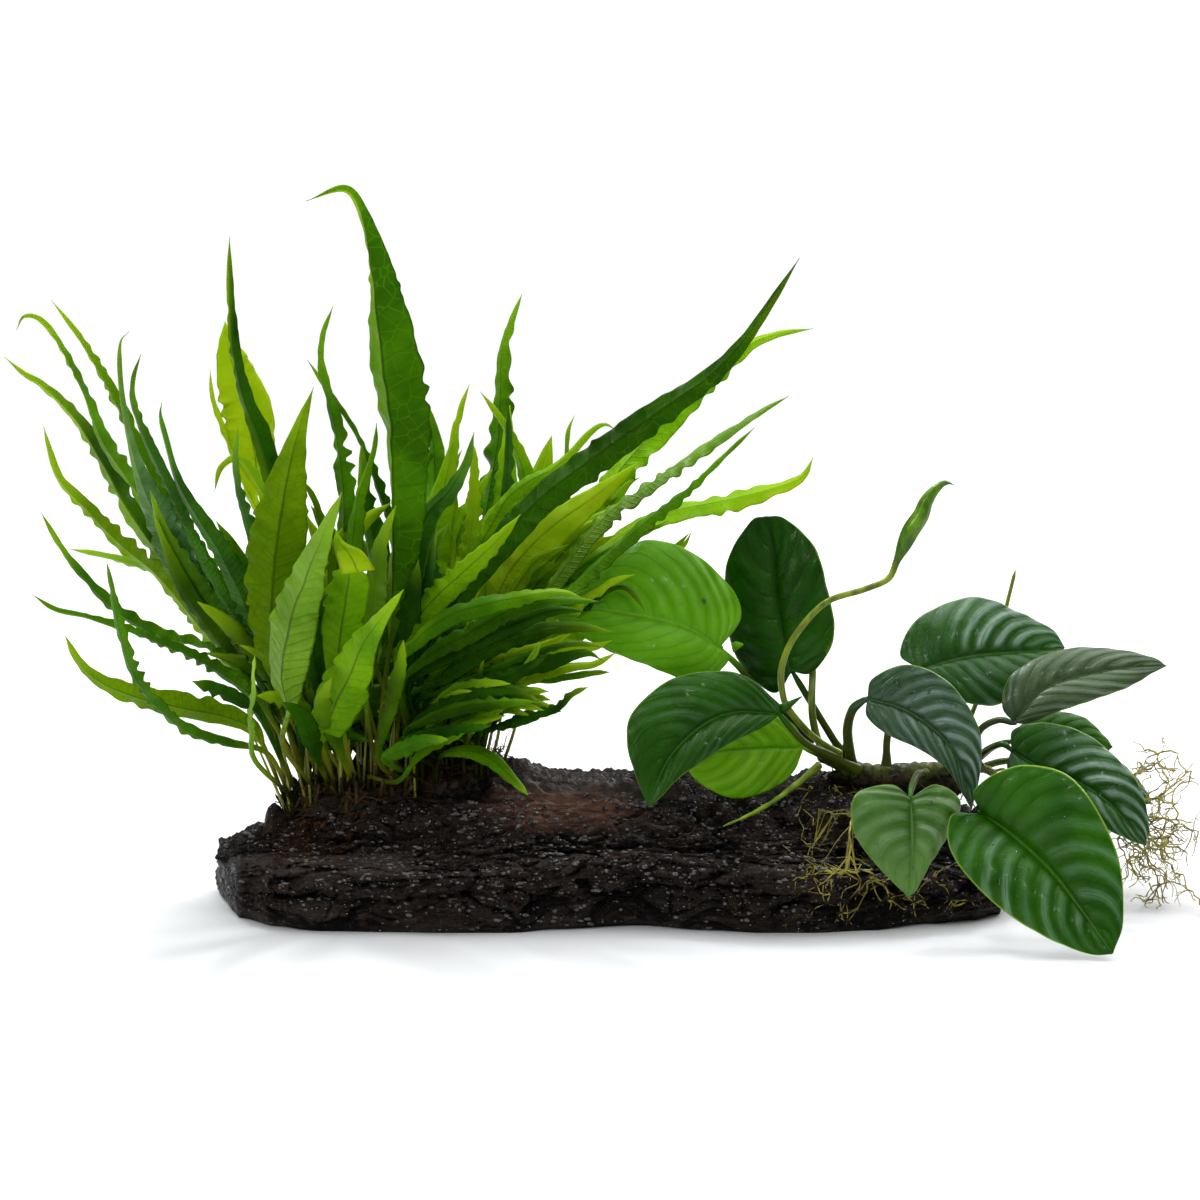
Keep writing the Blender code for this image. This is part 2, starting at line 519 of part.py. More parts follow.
def rhizome_mat(group):
    """The fern's creeping rhizomes and old leaf bases: a thin lumpy mat on the wood."""
    shell = bmesh.new()
    bmesh.ops.create_uvsphere(shell, u_segments=16, v_segments=7, radius=1)
    for vert in shell.verts:
        x, y = mat_place(vert.co.y * MAT_HALF_WIDTH, vert.co.x * MAT_HALF_LENGTH)
        lump = 0.7 * noise.noise(Vector((0.12 * x, 0.12 * y, 1)))
        share = 0.5 * (vert.co.z + 1)
        height = wood_top(x, y) + MAT_CLEARANCE + share * (MAT_THICKNESS + lump)
        vert.co = Vector((x, y, height)) * METRES
    mesh = bpy.data.meshes.new("fern_rhizome_mat")
    shell.to_mesh(mesh)
    shell.free()
    return add_object("fern_rhizome_mat", mesh, MAT_BROWN, 0.8, group)


def frond_path(frond):
    """A frond's centre line from its foot to its tip."""
    x, y = frond["foot"]
    foot = Vector((x, y, wood_top(x, y) + MAT_CLEARANCE + MAT_THICKNESS + FOOT_CLEARANCE))
    flat = [Vector((foot.x, foot.z))] + [Vector(p) for p in frond["path"]]
    run = [0.0]
    for a, b in zip(flat, flat[1:]):
        run.append(run[-1] + (b - a).length)
    points = [foot]
    for (across, up), length in zip(frond["path"], run[1:]):
        points.append(seen(across, up, lerp(y, frond["back"], length / run[-1])))
    return points


def blade_share(t, widest, taper, start):
    """The blade's share of its full width at t along the frond: 0 on the stipe and at the tip."""
    if t <= start:
        return 0.0
    s = (t - start) / (1 - start)
    round_share = max(0, math.sin(math.pi * s ** (math.log(0.5) / math.log(widest))))
    return round_share if s < widest else round_share**taper


def frond_mesh(name, frond):
    """One frond: a thin stipe that widens into a long folded blade with wavy margins."""
    forward = view_axes()[0]
    points = frond_path(frond)
    count = max(9, round(path_length(points) / RING_STEP) + 2)
    centres = smooth(points, count)
    rings = []
    for k, centre in enumerate(centres):
        t = k / (count - 1)
        tangent = (centres[min(k + 1, count - 1)] - centres[max(k - 1, 0)]).normalized()
        facing = tangent.cross(forward).normalized()
        outward = facing.cross(tangent)
        turn = math.radians(lerp(*frond["turn"], t))
        side = facing * math.cos(turn) + outward * math.sin(turn)
        face = outward * math.cos(turn) - facing * math.sin(turn)
        share = blade_share(t, frond.get("widest", 0.45), frond.get("taper", TIP_TAPER),
                            frond.get("start", BLADE_FROM))
        half = 0.5 * lerp(STIPE_WIDTH, frond["width"], share)
        if k == count - 1:
            half = TIP_HALF_WIDTH
        thick = 0.5 * lerp(STIPE_WIDTH, BLADE_THICKNESS, min(1, 2.5 * t))
        raised = half * frond.get("fold", PLAIN_FOLD) * min(1, 3 * share)
        wave = MARGIN_WAVE * frond["width"] * share * (-1) ** k
        midrib = centre + facing * (raised * math.sin(turn))
        rings.append([
            midrib + side * half + face * (raised + wave),
            midrib + face * thick,
            midrib - side * half + face * (raised - wave),
            midrib - face * thick,
        ])
    return loft(name, rings)


def fern_fronds(group):
    for number, frond in enumerate(FRONDS, start=1):
        name = f"fern_frond_{number:02d}"
        add_object(name, frond_mesh(name, frond), FERN_GREEN, 0.35, group)


def leaf_line(line, ends, depth, lean):
    """Points of a midrib or a margin, each with its depth between the joint and the tip."""
    flat = [Vector(p) for p in (ends[0], *line, ends[1])]
    run = [0.0]
    for a, b in zip(flat, flat[1:]):
        run.append(run[-1] + (b - a).length)
    placed = []
    for p, length in zip(flat, run):
        t = length / run[-1]
        placed.append(seen(p.x, p.y, lerp(*depth, t) + lean * math.sin(math.pi * t)))
    return placed


def leaf_face(width, along, sign):
    """The direction that a leaf's upper face looks, from its width and its length."""
    return sign * width.cross(along).normalized()


def leaf_mesh(name, leaf):
    """One anubias leaf: a petiole that runs into a broad arched blade with lobes beside the joint."""
    ends = (leaf["midrib"][0], leaf["midrib"][-1])
    midrib = smooth(leaf_line(leaf["midrib"][1:-1], ends, leaf["depth"], 0), LEAF_SAMPLES + 1)
    margins = [smooth(leaf_line(side, ends, leaf["depth"], lean), LEAF_SAMPLES + 1)
               for side, lean in zip(leaf["sides"], leaf["lean"])]
    whole = midrib[-1] - midrib[0]
    half_way = LEAF_SAMPLES // 2
    across = margins[0][half_way] - margins[1][half_way]
    sign = -1 if across.cross(whole).dot(view_axes()[0]) > 0 else 1
    petiole = smooth([seen(*p) for p in leaf["petiole"]] + [midrib[0]], PETIOLE_STEPS + 1)
    rings = []
    for centre, ahead in zip(petiole, petiole[1:]):
        tangent = (ahead - centre).normalized()
        side = (across - across.dot(tangent) * tangent).normalized()
        face = leaf_face(side, tangent, sign)
        rings.append([centre + PETIOLE_RADIUS * (math.cos(a) * side + math.sin(a) * face)
                      for a in (math.tau * n / 8 for n in range(8))])
    thick = 0.5 * LEAF_THICKNESS
    for k in range(1, LEAF_STEPS + 1):
        share = k / LEAF_STEPS
        rib = midrib[round(LEAF_SAMPLES * LAST_SHARE * share**LOBE_FAN)]
        near, far = (margin[round(LEAF_SAMPLES * LAST_SHARE * share)] for margin in margins)
        face = leaf_face(near - far, whole, sign)
        bow = LEAF_ARCH * (near - far).length * math.sin(math.pi * LAST_SHARE * share)
        near_mid = rib.lerp(near, 0.5) + face * bow
        far_mid = rib.lerp(far, 0.5) + face * bow
        rings.append([
            near,
            near_mid + face * thick,
            rib + face * thick,
            far_mid + face * thick,
            far,
            far_mid - face * thick,
            rib - face * 1.6 * thick,
            near_mid - face * thick,
        ])
    return loft(name, rings)


def anubias_leaves(group):
    for number, leaf in enumerate(LEAVES, start=1):
        name = f"anubias_leaf_{number:02d}"
        add_object(name, leaf_mesh(name, leaf), ANUBIAS_GREEN, 0.25, group)


def tube(name, points, radii, roundness):
    """A closed tube along the points, as a mesh object, with a radius at each point."""
    line = bpy.data.curves.new(name, "CURVE")
    line.dimensions = "3D"
    line.bevel_depth = METRES
    line.bevel_resolution = roundness
    line.use_fill_caps = True
    spline = line.splines.new("POLY")
    spline.points.add(len(points) - 1)
    for place, p, radius in zip(spline.points, points, radii):
        place.co = (*(p * METRES), 1)
        place.radius = radius
    holder = bpy.data.objects.new(name, line)
    bpy.context.scene.collection.objects.link(holder)
    bpy.context.view_layer.update()
    evaluated = holder.evaluated_get(bpy.context.evaluated_depsgraph_get())
    mesh = bpy.data.meshes.new_from_object(evaluated)
    shell = bmesh.new()
    shell.from_mesh(mesh)
    bmesh.ops.remove_doubles(shell, verts=shell.verts, dist=1e-6)
    bmesh.ops.recalc_face_normals(shell, faces=shell.faces)
    shell.to_mesh(mesh)
    shell.free()
    bpy.data.objects.remove(holder)
    made = bpy.data.objects.new(name, mesh)
    bpy.context.scene.collection.objects.link(made)
    return made


def adopt(made, colour, roughness, group):
    """Moves a finished tube into the collection and gives it its material."""
    bpy.context.scene.collection.objects.unlink(made)
    group.objects.link(made)
    made.data.materials.clear()
    made.data.materials.append(material(made.name, colour, roughness))
    return made


def anubias_rhizome(group):
    """The ringed creeping stem, with the stub of a cut leaf and an old petiole without its blade."""
    centres = smooth([seen(*p) for p in RHIZOME_PATH], RHIZOME_RINGS)
    radii = [RHIZOME_RADIUS * (1.12 if k % 2 else 0.92) for k in range(RHIZOME_RINGS)]
    stem = tube("anubias_rhizome", centres, radii, 1)
    stub_line = smooth([seen(*p) for p in LEAF_STUB], 4)
    join(stem, tube("leaf_stub", stub_line, [STUB_RADIUS] * 4, 1))
    petiole_line = smooth([seen(*p) for p in OLD_PETIOLE], 7)
    join(stem, tube("old_petiole", petiole_line, [OLD_PETIOLE_RADIUS] * 7, 1))
    return adopt(stem, RHIZOME_BROWN, 0.45, group)


def flower_stalk(group):
    """The curved stalk with its closed bud at the end."""
    stalk = smooth([seen(*p) for p in STALK_PATH], 19)
    bud = smooth([seen(*p) for p in BUD_PATH], len(BUD_RADII))
    radii = [STALK_RADIUS] * 18 + list(BUD_RADII)
    return adopt(tube("anubias_flower_stalk", stalk[:-1] + bud, radii, 1), STALK_GREEN, 0.3, group)


def tapering(name, path, radius, count, roundness=1):
    """A tube through a path in the front view that thins to a third towards its end."""
    line = smooth([seen(*p) for p in path], count)
    radii = [radius * (1 - 0.65 * k / (count - 1)) for k in range(count)]
    return tube(name, line, radii, roundness)


def root_cluster(name, roots, group):
    """One long root with shorter ones that start inside it, joined into one branching piece."""
    count = 3 * len(roots[0]) - 2
    trunk = smooth([seen(*p) for p in roots[0]], count)
    body = tapering(name, roots[0], ROOT_RADIUS, count, roundness=0)
    for root in roots[1:]:
        first = seen(*root[0])
        start = min(trunk, key=lambda p: (p - first).length)
        line = smooth([start] + [seen(*p) for p in root[1:]], 2 * len(root) - 1)
        radii = [0.8 * ROOT_RADIUS * (1 - 0.65 * k / (len(line) - 1)) for k in range(len(line))]
        join(body, tube(f"{name}_branch", line, radii, 0))
    return adopt(body, ROOT_OLIVE, 0.5, group)


def clear_scene():
    for found in list(bpy.data.objects):
        bpy.data.objects.remove(found)


def main():
    clear_scene()
    group = bpy.data.collections.new(OBJECT_NAME)
    bpy.context.scene.collection.children.link(group)
    driftwood(group)
    rhizome_mat(group)
    fern_fronds(group)
    anubias_rhizome(group)
    anubias_leaves(group)
    flower_stalk(group)
    adopt(tapering("anubias_shoot", SHOOT_PATH, SHOOT_RADIUS, 9), STALK_GREEN, 0.3, group)
    adopt(tapering("anubias_aerial_root", AERIAL_ROOT_PATH, AERIAL_ROOT_RADIUS, 9), STALK_GREEN, 0.3, group)
    root_cluster("anubias_front_roots", FRONT_ROOTS, group)
    root_cluster("anubias_root_tuft", TUFT_ROOTS, group)


main()
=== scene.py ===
"""The looks of the java fern and anubias on driftwood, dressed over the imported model."""
import math
import random

import bpy
import numpy as np
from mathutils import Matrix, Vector, noise
from mathutils.bvhtree import BVHTree


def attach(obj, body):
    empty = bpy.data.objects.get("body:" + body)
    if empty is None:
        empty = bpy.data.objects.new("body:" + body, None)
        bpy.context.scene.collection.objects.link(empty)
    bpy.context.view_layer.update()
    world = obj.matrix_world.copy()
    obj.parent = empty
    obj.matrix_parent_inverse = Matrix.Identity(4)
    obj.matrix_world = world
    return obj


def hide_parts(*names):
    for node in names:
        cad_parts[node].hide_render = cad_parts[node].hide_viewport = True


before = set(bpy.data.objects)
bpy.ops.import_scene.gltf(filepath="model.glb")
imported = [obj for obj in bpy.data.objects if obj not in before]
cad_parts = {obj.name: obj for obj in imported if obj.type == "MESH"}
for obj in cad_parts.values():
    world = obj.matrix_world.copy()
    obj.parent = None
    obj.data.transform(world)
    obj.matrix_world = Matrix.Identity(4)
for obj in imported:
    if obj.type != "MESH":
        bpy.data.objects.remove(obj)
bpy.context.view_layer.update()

METRES = 0.001

# The front view in which heights and widths were measured, as in the part's source, in millimetres.
VIEW_TILT = math.radians(12)
VIEW_DISTANCE = 1500
VIEW_CENTRE = np.array((0, 0, 104.8))
VIEW_CENTRE_UP = 110
FORWARD = np.array((0, math.cos(VIEW_TILT), -math.sin(VIEW_TILT)))
UPWARD = np.array((0, math.sin(VIEW_TILT), math.cos(VIEW_TILT)))
EYE = VIEW_CENTRE - VIEW_DISTANCE * FORWARD

# The driftwood's form, as in the part's source.
WOOD_X = np.array((-125.5, -112, -92, -72, -52, -30, -14, 12, 34, 54, 70, 90, 110, 124, 134), float)
WOOD_CREST = np.array((20.5, 25, 34, 38, 41, 45, 41, 41, 41, 37, 40, 39, 36, 29, 15), float)
WOOD_RIDGE = np.array((21, 23, 22, 21, 21, 22, 23, 24, 25, 24, 23, 21, 19, 15, 8), float)
WOOD_FRONT = np.array((-23, -32, -36, -37, -38, -38, -35, -32, -36, -38, -38, -35, -30, -26, -18), float)
WOOD_BACK = np.array((16, 26, 31, 33, 35, 36, 36, 36, 35, 34, 34, 32, 29, 25, 16), float)
WOOD_LIFT = np.array((3, 1.5, 0, 0, 0, 0, 1, 2.5, 1, 0, 0, 0, 2.5, 3, 2), float)
WOOD_END_SLANT = 0.28
WOOD_GRAIN = 3.0
WOOD_GRAIN_STEPS = 17
WOOD_SECTIONS = 410
WOOD_UPPER = 184
WOOD_UNDER = 14
# The breaks at the wood's ends: how far each bulges in millimetres, its rings, and a seed.
LEFT_BREAK = (-2.4, 14, 3.0)
RIGHT_BREAK = (1.6, 10, 8.0)
KNOB_RINGS = 16
KNOB_SIDES = 18
KNOBS = (
    ((-123, -4, 17), (-129, -8, 18), 3.0),
    ((-109, 2, 24), (-110, 4, 34), 4.5),
    ((-82, -22, 8), (-83, -34, 3), 2.0),
    ((121, 4, 20), (131, 10, 33), 4.0),
)

MAT_CENTRE = (-70, 13)
MAT_HALF_LENGTH = 38
MAT_HALF_WIDTH = 13
MAT_TURN = math.radians(10)
MAT_ROWS = 26
MAT_COLUMNS = 48
CREEPERS = 9
CREEPER_STEPS = 7
CREEPER_STEP = 6.5
CREEPER_RINGS = 26
OLD_BASES = 150
# The old leaf bases end at this x.
OLD_BASES_END = -50
FIBRES = 620
FOOT_HEIGHT = 8.1

STIPE_WIDTH = 1.9
BLADE_FROM = 0.22
INNER_BLADE_FROM = 0.34
TIP_TAPER = 1.35
PLAIN_FOLD = 0.2


def grown(foot, path, back, width, turn, tone, **more):
    """One row of the frond tables, by name."""
    return dict(foot=foot, path=path, back=back, width=width, turn=turn, tone=tone, **more)


# The fronds of the part's source, with the same places and widths, and each one's colour here.
# shades lighten or darken each half of a frond's blade: painted light and shade.
FRONDS = (
    grown((-104, 4.5), ((-110.5, 58.5), (-124, 62.5), (-136.5, 66.5), (-146.5, 74.5), (-154.5, 85),
        (-159.5, 99.5), (-162.5, 113.5), (-164.5, 123)), -72, 6, (30, 45), "mid", shades=(0.45, 0.4)),
    grown((-97, 4.5), ((-105.5, 61.5), (-103.5, 74), (-104.5, 83.5), (-103.5, 93.5), (-101.5, 105.5),
        (-98.5, 114.5), (-95, 124.5), (-86, 146)), -58, 16.5, (25, 10), "pale", fold=0.45, start=0.3,
        widest=0.3),
    grown((-90, 4.5), ((-93.5, 64), (-90, 70.5), (-86.5, 78), (-82.5, 85.5), (-79.5, 93.5), (-74.5, 101.5),
        (-65.5, 113.5)), -66, 16, (10, 5), "light", widest=0.3, taper=1.6, shades=(0.5, 0.42)),
    grown((-83, 4.5), ((-86.5, 70), (-87.5, 83.5), (-86.5, 99.5), (-84.5, 110), (-83.5, 118.5), (-85, 125),
        (-88, 133.5)), -40, 14, (0, 10), "light", widest=0.62, taper=0.9, pinch=0.86),
    grown((-76, 4.5), ((-72, 80), (-68.5, 103.5), (-65.5, 126.5), (-64, 146.5), (-64.5, 166.5),
        (-67.5, 185), (-70, 201.5), (-72.5, 218.5), (-76.5, 233.5), (-84, 247), (-98, 243)), -38, 21,
        (35, 42), "cell", fold=0.75, widest=0.48, taper=1.9, wave=0.3, step=7.5, shades=(0.74, 0.42)),
    grown((-69, 5.5), ((-66, 73.5), (-53.5, 100.5), (-36.5, 124.5), (-20, 142.5), (-3.5, 155.5),
        (15.5, 169.5), (34.5, 182.5), (45.5, 193), (55, 206), (66.5, 224)), -34, 11.5, (10, 25), "deep",
        fold=0.3, widest=0.4, taper=1.5, wave=0.8, step=8, shades=(0.28, 0.4)),
    grown((-62, 7.5), ((-65.5, 76.5), (-64, 110), (-58, 136), (-50, 146), (-44.5, 155.5), (-42, 166)), -12,
        10, (20, 35), "blue"),
    grown((-55, 9.5), ((-58, 73.5), (-50, 103), (-32, 141.5), (-14, 154.5), (-3.5, 165.5), (1.5, 168.5),
        (5.5, 166.5)), 6, 6, (20, 30), "light"),
    grown((-48, 12), ((-44, 72), (-30, 89.5), (-10, 98.5), (10, 112), (30, 132.5)), 30, 9, (35, 45),
        "light", shades=(0.55, 0.4)),
    grown((-41, 14.5), ((-42, 65.5), (-34.5, 67.5), (-25, 70.5), (-14.5, 74), (-9.5, 78.5), (-4, 81)), -28,
        4.5, (25, 40), "dark"),
    grown((-55, 5.5), ((-52, 58.5), (-43.5, 59.5), (-36, 56.5), (-30.5, 51.5), (-24, 45)), -26, 5.5,
        (10, 30), "mid"),
    grown((-107, 8), ((-114.5, 65.5), (-124, 71.5), (-137.5, 74.5), (-153, 78), (-166, 83), (-173.5, 89.5),
        (-178.5, 98.5)), -38, 10.5, (20, 35), "olive", widest=0.4, taper=1.5),
    grown((-100, 8), ((-112, 74), (-128.5, 88), (-152, 98.5), (-170.5, 104.5), (-181.5, 107),
        (-189.5, 112)), -20, 6, (40, 45), "mid", widest=0.35, taper=1.8, shades=(0.5, 0.4)),
    grown((-93, 8), ((-104, 77), (-109, 96.5), (-109, 113.5), (-107.5, 130), (-104.5, 148), (-100.5, 165.5),
        (-95.5, 181)), -28, 19.5, (0, 12), "olive", fold=0.2, widest=0.46, taper=1.75, shades=(0.5, 0.42)),
    grown((-86, 8), ((-98, 73.5), (-109.5, 106.5), (-116.5, 134), (-120.5, 147.5), (-121.5, 158.5),
        (-120.5, 168.5)), -10, 5.5, (30, 45), "blue"),
    grown((-72, 9), ((-78, 77), (-82.5, 110), (-80.5, 140), (-77.5, 152), (-75, 161.5), (-74.5, 169)), -14,
        8, (25, 45), "mid", shades=(0.6, 0.4)),
    grown((-65, 11), ((-72, 80), (-83.5, 115), (-84.5, 145), (-87.5, 168), (-92.5, 186.5), (-92.5, 197.5),
        (-89, 208)), 0, 9, (35, 50), "mid"),
    grown((-58, 13), ((-46, 72), (-27, 96.5), (-4, 117.5), (13.5, 133.5), (28.5, 145.5), (40, 156.5),
        (51.5, 167.5)), -12, 6.5, (45, 55), "mid", shades=(0.45, 0.35)),
    grown((-51, 15), ((-42, 78), (-20, 108), (1.5, 136), (17.5, 148), (35.5, 160.5), (53.5, 172.5),
        (63, 178)), 4, 8.5, (45, 55), "pale", taper=1.2, shades=(0.4, 0.3)),
    grown((-44, 17), ((-38, 76), (-26, 83), (-12.5, 84), (-3.5, 85.5), (3.5, 86)), -4, 4.5, (30, 40),
        "mid"),
    grown((-103, 11.5), ((-114, 77), (-128.5, 93.5), (-145.5, 98.5), (-159.5, 106), (-169.5, 115.5),
        (-178.5, 126), (-186.5, 139.5)), 4, 5.5, (35, 45), "mid", shades=(0.45, 0.4)),
    grown((-96, 11.5), ((-106, 77), (-116.5, 106), (-126, 126), (-134, 138.5), (-140.5, 150),
        (-144.5, 163.5), (-146.5, 171.5), (-146, 176)), -8, 9, (10, 45), "wet", fold=0.3, widest=0.34,
        taper=2.0, shades=(0.6, 0.5)),
    grown((-89, 11.5), ((-103, 77), (-120.5, 103.5), (-134, 127.5), (-143.5, 148), (-151.5, 165),
        (-155.5, 176), (-155.5, 184), (-153, 192)), 5, 6, (20, 50), "wet", taper=1.2),
    grown((-82, 12), ((-103.5, 76.5), (-122.5, 95), (-133.5, 112.5), (-145.5, 134.5), (-152.5, 150.5),
        (-156.5, 164), (-159.5, 180), (-160, 195), (-157, 199.5)), 26, 14, (10, 45), "green_with_painted_sheen", fold=0.25,
        widest=0.4, taper=4.2, shades=(0.55, 0.45)),
    grown((-75, 12.5), ((-88, 95), (-101.5, 130.5), (-110.5, 144), (-116.5, 154), (-121, 157.5),
        (-126.5, 154), (-128.5, 146)), 6, 5, (25, 35), "light", shades=(0.6, 0.5)),
    grown((-68, 13.5), ((-86, 82), (-102, 123), (-111.5, 160), (-118, 177.5), (-121.5, 193.5), (-123, 209),
        (-123.5, 223.5), (-123.5, 231)), 22, 8, (25, 35), "dark", taper=1.4, shades=(0.6, 0.42), wave=1.5),
    grown((-61, 15), ((-63, 80), (-66.5, 123.5), (-73.5, 148), (-80, 163.5), (-86.5, 174), (-97.5, 190)),
        22, 5, (35, 50), "mid"),
    grown((-54, 16.5), ((-48, 78), (-33.5, 113), (-25, 140), (-25, 153.5), (-30, 165.5), (-36, 174.5),
        (-40, 179.5)), 26, 9, (20, 40), "light", fold=0.3),
    grown((-47, 18.5), ((-44, 80), (-33.5, 115), (-24.5, 143.5), (-20, 155.5), (-16, 165)), 42, 9, (20, 35),
        "light"),
    grown((-40, 20.5), ((-30, 84), (-11.5, 113.5), (6, 130), (22.5, 138), (43.5, 142.5), (62, 148),
        (68, 151.5), (71, 157.5)), 34, 10, (40, 48), "light", widest=0.66, wave=0.5),
    grown((-92, 15.5), ((-108, 77), (-131.5, 106.5), (-154.5, 138), (-164.5, 155.5), (-174.5, 171),
        (-185.5, 181.5), (-192, 185.5), (-198.5, 191)), 54, 13.5, (30, 55), "dark", taper=1.5,
        shades=(0.75, 0.55)),
    grown((-99, 15), ((-112, 74), (-131.5, 100), (-146.5, 118.5), (-159, 129), (-169.5, 139.5),
        (-179.5, 150), (-183.5, 160.5), (-185.5, 168)), 42, 9, (35, 50), "olive", shades=(0.75, 0.6)),
    grown((-85, 15.5), ((-104, 80), (-129.5, 108.5), (-150.5, 142), (-164.5, 162.5), (-171.5, 179.5),
        (-180, 195.5), (-186.5, 203.5), (-192, 204.5), (-194.5, 200)), 44, 9, (35, 55), "mid",
        shades=(0.62, 0.5)),
    grown((-78, 16.5), ((-98, 80), (-122, 110), (-144.5, 144.5), (-157.5, 170), (-164.5, 183.5),
        (-172.5, 196.5), (-178.5, 204.5), (-183, 210)), 56, 8, (35, 55), "mid", shades=(0.72, 0.6)),
    grown((-71, 17), ((-84, 80), (-100, 113.5), (-112, 141.5), (-115.5, 160), (-117.5, 172.5),
        (-120.5, 182), (-123.5, 192.5), (-125, 203)), 50, 17, (0, 0), "bright", fold=0.2, start=0.64,
        widest=0.44, taper=1.0),
    grown((-64, 18), ((-80, 82), (-100, 116.5), (-116, 145), (-123.5, 162.5), (-128, 173.5), (-129.5, 180),
        (-130, 187)), 76, 6, (40, 50), "bright", shades=(0.42, 0.42)),
    grown((-57, 19.5), ((-58, 90), (-54.5, 130), (-54.5, 156.5), (-56.5, 170), (-59, 178)), 56, 11,
        (20, 40), "mid", widest=0.55, shades=(0.5, 0.5)),
    grown((-50, 21), ((-46, 84), (-39.5, 124), (-33.5, 160), (-32.5, 176.5), (-32, 192.5), (-29.5, 202.5),
        (-26, 212)), 66, 11, (35, 50), "mid", taper=1.1),
    grown((-43, 23), ((-33, 90), (-7.5, 133), (21.5, 168.5), (46.5, 192), (57.5, 198), (71, 200.5)), 56, 12,
        (30, 45), "light", shades=(0.5, 0.35)),
    grown((-99, 18.5), ((-116, 78), (-134, 101.5), (-146.5, 118.5), (-154.5, 122), (-165.5, 125),
        (-177, 127)), 62, 5, (30, 45), "pale"),
)

